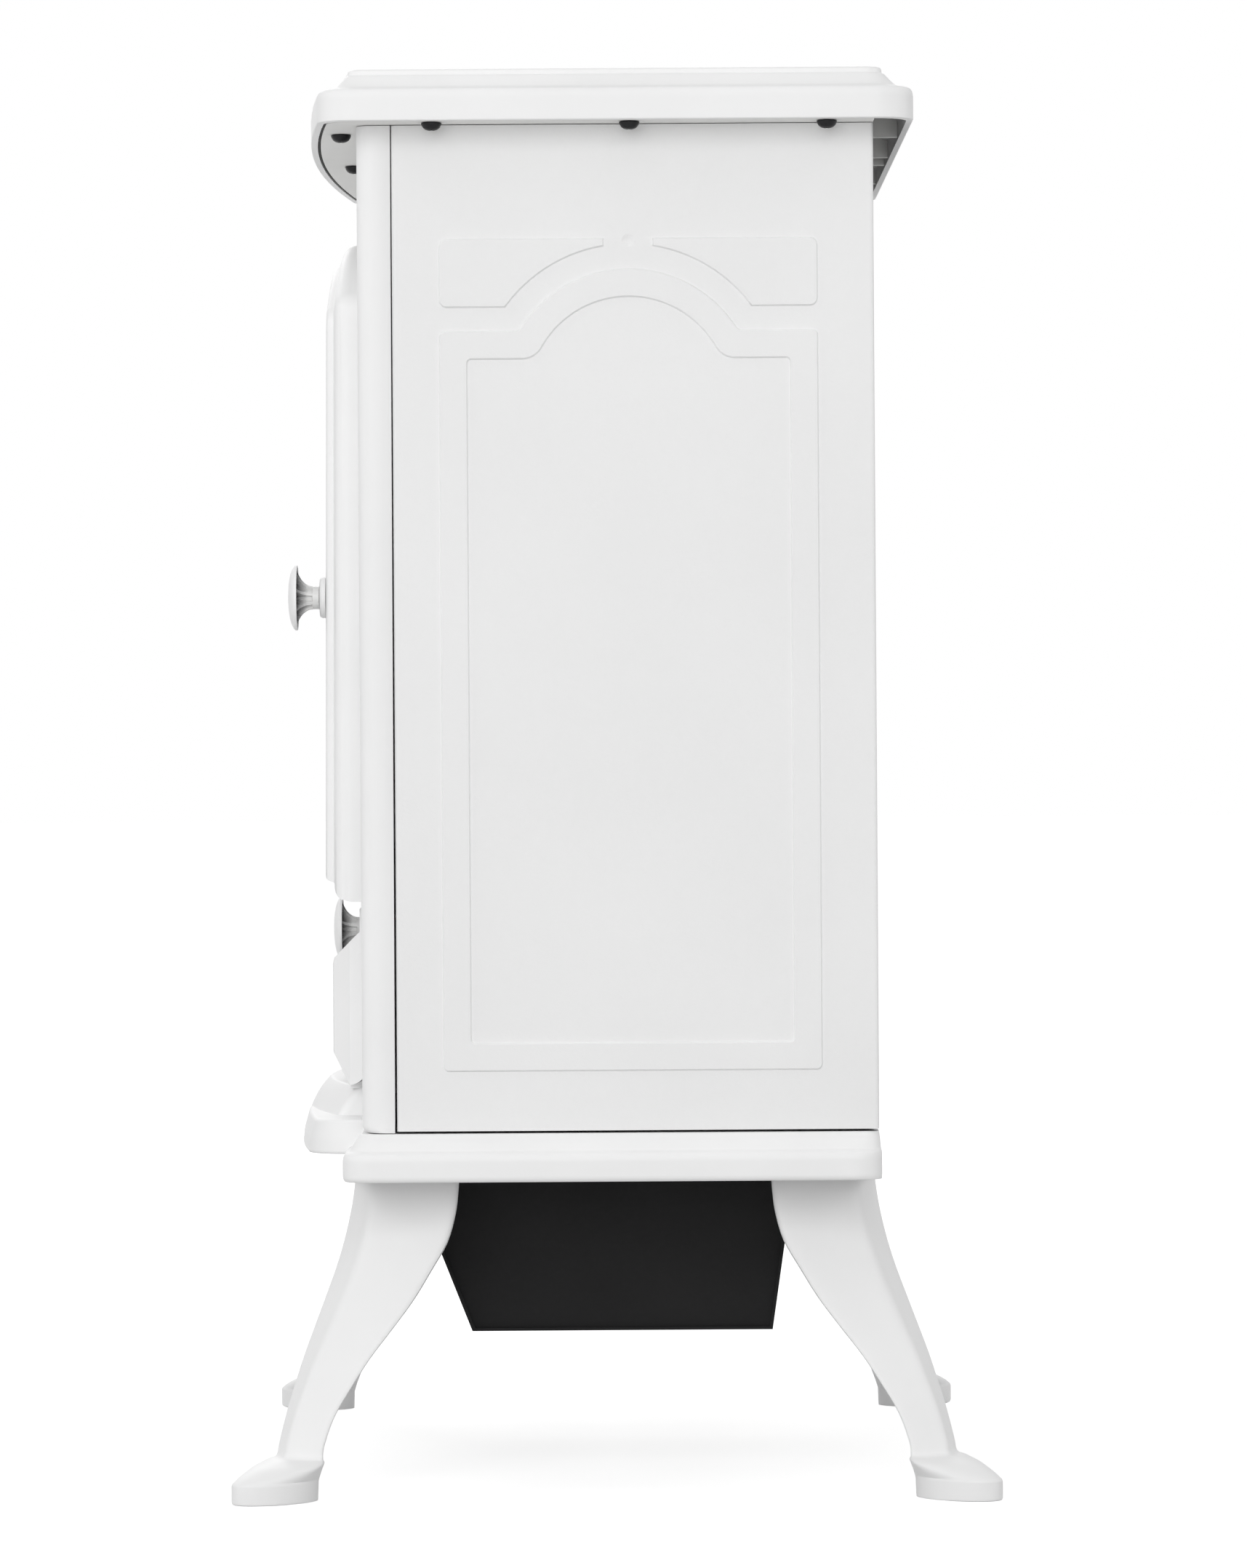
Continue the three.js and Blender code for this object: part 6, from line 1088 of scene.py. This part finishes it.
def ember_lump(x, y, z, size, seed):
    """One loose lump, a flattened ball with an uneven skin."""
    rows, sides = 7, 14
    points = []
    for row in range(1, rows + 1):
        polar = math.pi * row / (rows + 1)
        for side in range(sides):
            turn = 2 * math.pi * side / sides
            way = Vector((math.sin(polar) * math.cos(turn), math.sin(polar) * math.sin(turn),
                          math.cos(polar)))
            reach = size * (1 + 0.45 * noise.noise(way * 1.7 + Vector((seed, 0, 0))))
            points.append((x + reach * way.x, y + reach * way.y, z - reach * way.z * 0.7))
    faces = [(row * sides + side, row * sides + (side + 1) % sides,
              (row + 1) * sides + (side + 1) % sides, (row + 1) * sides + side)
             for row in range(rows - 1) for side in range(sides)]
    faces += [tuple(reversed(range(sides))), tuple(range((rows - 1) * sides, rows * sides))]
    return points, faces


def make_ember_bed():
    """A low mound with loose, irregular lumps on it."""
    low, high = (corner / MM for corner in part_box("ember_bed"))
    middle, half = (low + high) / 2, (high - low) / 2
    rings = []
    for up, spread in ((0, 1), (0.2, 0.99), (0.5, 0.94), (0.75, 0.84), (0.88, 0.7), (0.93, 0.45),
                       (0.95, 0.02)):
        ring = []
        for side in range(72):
            angle = 2 * math.pi * side / 72
            wander = 1 + 0.05 * noise.noise(Vector((3 * math.cos(angle), 3 * math.sin(angle), up)))
            ring.append((middle.x + (half.x - 3) * spread * wander * math.cos(angle),
                         middle.y + (half.y - 2) * spread * wander * math.sin(angle)))
        rings.append((ring, low.z + up * (high.z - low.z - 4)))
    parts = [loft("z", rings)]
    chance = random.Random(11)
    for _ in range(150):
        angle, share = chance.uniform(0, 2 * math.pi), math.sqrt(chance.uniform(0, 0.82))
        size = chance.uniform(3.2, 6.5)
        x = middle.x + (half.x - 9) * share * math.cos(angle)
        y = middle.y + (half.y - 8) * share * math.sin(angle)
        z = low.z + (high.z - low.z - 7) * math.sqrt(max(1 - share ** 2 * 0.9, 0.05))
        parts.append(ember_lump(x, y, z, size, chance.uniform(0, 100)))
    piece("ember_lumps", parts, ember_lacquer, "stove", "ember_resin", ["ember_bed"], sharp=60,
          weld=0.001)


make_ember_bed()


# Floor, lamps, world and camera
def seen_directly(tree):
    """One for the camera, for gloss and for glass, which all see the white background."""
    rays = add(tree, "ShaderNodeLightPath").outputs
    gloss = add(tree, "ShaderNodeMath", {0: rays["Is Camera Ray"], 1: rays["Is Glossy Ray"]},
                operation="MAXIMUM").outputs["Value"]
    return add(tree, "ShaderNodeMath", {0: gloss, 1: rays["Is Transmission Ray"]},
               operation="MAXIMUM").outputs["Value"]


def make_floor():
    """A matt white sheet. The camera sees it near white, and it keeps the stove's shadow."""
    mesh = bpy.data.meshes.new("studio_floor")
    half = 30.0
    mesh.from_pydata([(-half, -half, 0), (half, -half, 0), (half, half, 0), (-half, half, 0)], [],
                     [(0, 1, 2, 3)])
    floor = bpy.data.objects.new("studio_floor", mesh)
    bpy.context.scene.collection.objects.link(floor)
    material = bpy.data.materials.new("white studio sheet")
    material.use_nodes = True
    tree = material.node_tree
    tree.nodes.clear()
    seen = seen_directly(tree)
    sheet = add(tree, "ShaderNodeBsdfDiffuse", {"Color": shade("CACACA")}).outputs["BSDF"]
    glow = add(tree, "ShaderNodeEmission", {"Color": grey(1.0), "Strength": 0.7}).outputs["Emission"]
    none = add(tree, "ShaderNodeEmission", {"Color": grey(0.0), "Strength": 0.0}).outputs["Emission"]
    lit = add(tree, "ShaderNodeMixShader", {0: seen, 1: none, 2: glow}).outputs["Shader"]
    both = add(tree, "ShaderNodeAddShader", {0: sheet, 1: lit}).outputs["Shader"]
    add(tree, "ShaderNodeOutputMaterial", {"Surface": both})
    mesh.materials.append(material)


def make_world():
    """Even studio light. The camera, gloss and glass see plain white."""
    world = bpy.data.worlds.new("studio")
    bpy.context.scene.world = world
    world.use_nodes = True
    tree = world.node_tree
    tree.nodes.clear()
    seen = seen_directly(tree)
    light, white = (add(tree, "ShaderNodeBackground", {"Color": grey(1.0), "Strength": strength})
                    .outputs["Background"] for strength in (0.54, 1.0))
    mixed = add(tree, "ShaderNodeMixShader", {0: seen, 1: light, 2: white}).outputs["Shader"]
    add(tree, "ShaderNodeOutputWorld", {"Surface": mixed})


def add_lamp(name, spot, aim, size, power):
    """A soft box that looks at a point."""
    data = bpy.data.lights.new(name, "AREA")
    data.shape, data.size, data.size_y, data.energy = "RECTANGLE", size[0], size[1], power
    lamp = bpy.data.objects.new(name, data)
    lamp.location = spot
    lamp.rotation_euler = (Vector(aim) - Vector(spot)).to_track_quat("-Z", "Y").to_euler()
    lamp.visible_camera = False
    bpy.context.scene.collection.objects.link(lamp)


def make_camera():
    """Level camera at the right side, three metres off, with the photograph's slight roll."""
    sensor, focal, height = 36.0, 9187, 2156
    data = bpy.data.cameras.new("camera")
    data.sensor_width = sensor
    data.lens = sensor * focal / height
    # The picture's middle against the point on the camera's axis, in pixels.
    data.shift_x = (857.5 - 840) / height
    data.shift_y = -(1078 - 1040) / height
    data.clip_start, data.clip_end = 0.1, 100.0
    camera = bpy.data.objects.new("camera", data)
    # The camera's right, up and back directions are the columns: it looks along -X with +Z up.
    facing = Matrix(((0, 0, 1, 0), (1, 0, 0, 0), (0, 1, 0, 0), (0, 0, 0, 1)))
    camera.matrix_world = (Matrix.Translation((3.0, 0.0, 0.311)) @ facing
                           @ Matrix.Rotation(-0.0065, 4, "Z"))
    bpy.context.scene.collection.objects.link(camera)
    bpy.context.scene.camera = camera


make_floor()
make_world()
add_lamp("soft_box_side", (3.1, -0.5, 1.25), (0.1, 0, 0.33), (2.2, 2.0), 41)
add_lamp("soft_box_front", (0.5, -2.6, 1.6), (0, 0, 0.35), (1.6, 1.6), 11.5)
add_lamp("soft_box_rear", (0.4, 2.6, 1.6), (0, 0, 0.4), (1.6, 1.2), 10)
add_lamp("soft_box_left", (-2.6, -0.4, 1.6), (0, 0, 0.35), (1.6, 1.2), 20)
make_camera()
bpy.context.scene.view_settings.view_transform = "Standard"
